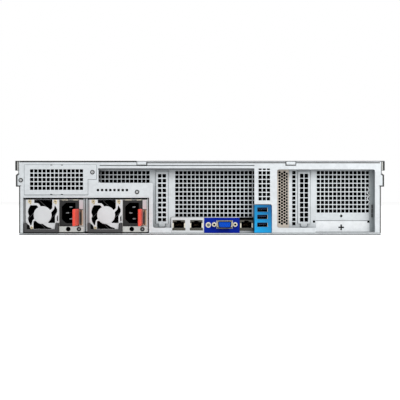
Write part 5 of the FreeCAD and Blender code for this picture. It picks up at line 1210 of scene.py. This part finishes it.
def fans():
    """The fan bank: frames with motor plates, guards and pull tabs, and four rotors."""
    _, right, rear, front, low, top = box_of("fan_frames")
    half = (top - low) / 2
    pitch, middle = 2 * (right - half) / 3, low + half
    made = Piece()
    for n in range(4):
        x = (n - 1.5) * pitch
        bore = disc(x, middle, 38, 72)
        screws = [disc(x + a, middle + b, 2.2, 16) for a in (-35.5, 35.5) for b in (-35.5, 35.5)]
        frame_shape = eased(rect(x - half, x + half, low, top), 3)
        made.sheet(CARRIER, frame_shape, rear, front, [bore, *screws], 0.5)
        made.sheet(CARRIER, disc(x, middle, 17, 48), rear, rear + 2, (), 0.5)
        made.sheet(WHITE, disc(x, middle, 12, 40), rear - 0.4, rear, (), 0.1)
        for quarter in range(4):
            turn = quarter * math.pi / 2 + 0.4
            arm = [(x + r * math.cos(turn + 0.012 * (r - 16)), rear + 1.2,
                    middle + r * math.sin(turn + 0.012 * (r - 16))) for r in (16, 24, 32, 39)]
            made.swept(CARRIER, arm, 1.1, 6)
        for radius in (9, 18, 27, 36):
            made.sheet(BRIGHT, disc(x, middle, radius + 0.6, 48), front, front + 1.1,
                       [disc(x, middle, radius - 0.6, 48)], 0.3)
        for turn in (0.8, 2.37):
            bar = [(x + r * math.cos(turn), front + 1.6, middle + r * math.sin(turn))
                   for r in (-42, 42)]
            made.swept(BRIGHT, bar, 0.6, 6)
        made.flat(RED, eased(rect(x - 13, x + 13, rear + 6, rear + 18), 3), top - 0.2, top + 2.2,
                  [pill(x, rear + 12, 16, 4)], 0.5)
        if n < 3:
            gap = x + half, x + pitch - half
            made.slab(PANEL, gap, (rear + 16, rear + 17.2), (low, top - 4))
            made.slab(PANEL, gap, (rear + 10, rear + 24), (top - 5.2, top - 4))

        name = f"fan_rotor_{n + 1}"
        _, _, start, end, foot, head = box_of(name)
        tip = (head - foot) / 2 - 0.3
        hub = [(0, start), (15.4, start), (16.2, start + 0.8), (16.2, end - 1.6), (14.8, end),
               (0, end)]
        rotor = Piece()
        rotor.add(BLACK, fan_blades(x, middle, 9, (15.5, tip), (start + 3, end - 3), 0.5))
        rotor.turned(SOCKET, hub, x, 0, middle, 48)
        rotor.ride(f"fan_{n + 1}_blades", name, "black_plastic", name)
    made.ride("fan_bank", "chassis", "black_plastic", "fan_frames")


def shroud():
    """The moulded duct over the processors, with ribs and shallow panels."""
    left, right, rear, front, low, top = box_of("air_shroud")
    wall = 2.0
    section = stepped(low, right, top, left, low, left + wall, top - wall, right - wall)
    made = Piece()
    made.sheet(CARRIER, section, rear, front, (), 0.5)
    for x, half in ((-112, 44), (0, 30), (112, 44)):
        ring = eased(rect(x - half, x + half, rear + 12, front - 50), 6)
        inner = eased(rect(x - half + 3, x + half - 3, rear + 15, front - 53), 4)
        made.flat(CARRIER, ring, top, top + 1.3, [inner], 0.4)
        for k in range(7):
            rib = span(x + (k - 3) * half / 4, 0.9)
            made.slab(CARRIER, rib, (front - 44, front - 6), (top, top + 1.6), 0.4)
    for x in (-178, 178):
        made.flat(RED, eased(rect(x - 9, x + 9, rear + 20, rear + 60), 4), top, top + 2.0,
                  [pill(x, rear + 40, 8, 26)], 0.5)
    made.ride("shroud", "chassis", "black_plastic", "air_shroud")


def board_parts():
    """Chips, capacitors, coils, connectors, a battery and a small finned sink on the board."""
    top = box_of("motherboard")[-1]
    taken = []
    made = Piece()

    def free(x, y, wide, deep):
        """Whether a part fits there; if it does, its place is taken."""
        if any(abs(x - a) < (wide + c) / 2 + 1.5 and abs(y - b) < (deep + d) / 2 + 1.5
               for a, b, c, d in taken):
            return False
        taken.append((x, y, wide, deep))
        return True

    free(30, 212, 44, 40)
    made.slab(FIN, (10, 50), (194, 230), (top, top + 3), ease=1.0)
    for n in range(13):
        made.slab(FIN, (11 + n * 3.1, 12.2 + n * 3.1), (195, 229), (top + 3, top + 16))
    free(-60, 214, 24, 24)
    made.flat(SOCKET, disc(-60, 214, 11, 40), top, top + 3, (), 0.5)
    made.flat(BRIGHT, disc(-60, 214, 10, 40), top + 3, top + 5.4, (), 0.4)
    areas = (((-200, 200), (190, 236), 150), ((94, 203), (18, 178), 110),
             ((-55, 64), (34, 178), 60))
    can = [(0, 7.8), (2.4, 7.8), (3.1, 7.4), (3.1, 1.2), (2.8, 0.8), (3.1, 0), (0, 0)]
    for (x0, x1), (y0, y1), count in areas:
        for _ in range(count):
            x, y = RANDOM.uniform(x0 + 6, x1 - 6), RANDOM.uniform(y0 + 5, y1 - 5)
            kind = RANDOM.random()
            if kind < 0.3 and free(x, y, 7, 7):
                made.turned(BRIGHT if kind < 0.2 else SOCKET, can, x, y, top, 16, along="z")
            elif kind < 0.5 and free(x, y, 8, 8):
                coil = eased(rect(x - 4, x + 4, y - 4, y + 4), 1.2)
                made.flat(EDGE, coil, top, top + 4.5, (), 0.5)
            elif kind < 0.68 and free(x, y, 13, 13):
                made.flat(CHIP, rect(x - 6, x + 6, y - 6, y + 6), top, top + 1.5,
                          [disc(x - 4.4, y - 4.4, 0.7, 12)], 0.2)
            elif kind < 0.78 and free(x, y, 10, 24):
                made.flat(PINK, rect(x - 4, x + 4, y - 11, y + 11), top, top + 8,
                          [pill(x, y, 2.4, 18)], 0.3)
            elif free(x, y, 3.4, 2.4):
                made.slab(TAN if kind < 0.9 else CHIP, span(x, 1.4), span(y, 0.8),
                          (top, top + 1.1), 0.15)
    for x in (112, 190):
        made.slab(SOCKET, span(x, 4), (40, 170), (top, top + 11), ease=0.8)
    made.ride("board_parts", "chassis", "circuit_board")


# ---- CAD pieces given only a finish

def plain_nodes():
    """The nodes that keep their own shape."""
    for name, finish in (("psu_cage", PANEL), ("motherboard", BOARD), ("heat_sinks", FIN),
                         ("memory_modules", BOARD), ("backplane", BOARD)):
        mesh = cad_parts[name].data
        mesh.materials.clear()
        mesh.materials.append(finish)


# ---- stage

WHITE_LIGHT = 1, 1, 1, 1


def floor_finish():
    """A floor that shows near white to the camera and in reflections, and lights nothing else."""
    nodes = Nodes(bpy.data.materials.new("pale_floor"))
    nodes.fill(nodes.shader, {"Base Color": (0.6, 0.6, 0.6, 1), "Roughness": 0.9,
                              "Specular IOR Level": 0.0})
    strength = nodes.combined("MULTIPLY", nodes.seen(), 0.78)
    lit = nodes.add("ShaderNodeEmission", {"Color": WHITE_LIGHT, "Strength": strength})
    both = nodes.add("ShaderNodeAddShader", {0: nodes.shader.outputs[0], 1: lit.outputs[0]})
    nodes.fill(nodes.tree.nodes["Material Output"], {"Surface": both.outputs[0]})
    return nodes.owner


def lamp(name, place, target, size, power):
    """A soft oblong lamp that faces its target."""
    data = bpy.data.lights.new(name, "AREA")
    data.shape = "RECTANGLE"
    data.size, data.size_y = size
    data.energy = power
    made = placed(name, data)
    made.location = place
    made.rotation_mode = "QUATERNION"
    made.rotation_quaternion = (Vector(target) - Vector(place)).to_track_quat("-Z", "Y")


def studio():
    """A pale floor, a white world and soft lamps."""
    half = 6
    mesh = bpy.data.meshes.new("floor")
    mesh.from_pydata([(x, y, 0) for x, y in rect(-half, half, -half, half)], [], [(0, 1, 2, 3)])
    mesh.materials.append(floor_finish())
    placed("floor", mesh)
    nodes = Nodes(bpy.data.worlds.new("studio"), "Background")
    bpy.context.scene.world = nodes.owner
    nodes.fill(nodes.shader, {"Color": WHITE_LIGHT,
                              "Strength": nodes.between(nodes.seen(), 0.30, 1.0, span=(0, 1))})
    lamp("key", (0.35, -1.75, 1.45), (0, -0.36, 0.04), (1.2, 0.7), 18)
    lamp("fill", (1.0, -1.6, 0.7), (0, -0.36, 0.04), (1.0, 0.8), 8.5)
    lamp("top", (0.0, 0.3, 2.0), (0, 0, 0), (2.0, 2.0), 14)
    lamp("front", (0.4, 2.2, 1.0), (0, 0.3, 0.04), (1.5, 1.0), 10)


def camera():
    """Square on to the middle of the rear."""
    data = bpy.data.cameras.new("camera")
    data.sensor_width = 36
    data.lens = 61.16
    data.shift_y = -0.00515
    made = placed("camera", data)
    made.location = (0, REAR - 0.8, 0.04375)
    made.rotation_euler = (math.pi / 2, 0, 0)
    bpy.context.scene.camera = made


for part in (rear_wall, bay_cover, panel_screws, cage_left, cage_right, blanks, screen, jacks,
             labels, shield, display_port, usb, rear_button):
    part()
supply(1)
supply(2)
for part in (tray, covers, latch, ears, studs, drive_bay, drives, front_button, fans, shroud,
             board_parts, plain_nodes, studio, camera):
    part()
bpy.context.scene.view_settings.view_transform = "Standard"
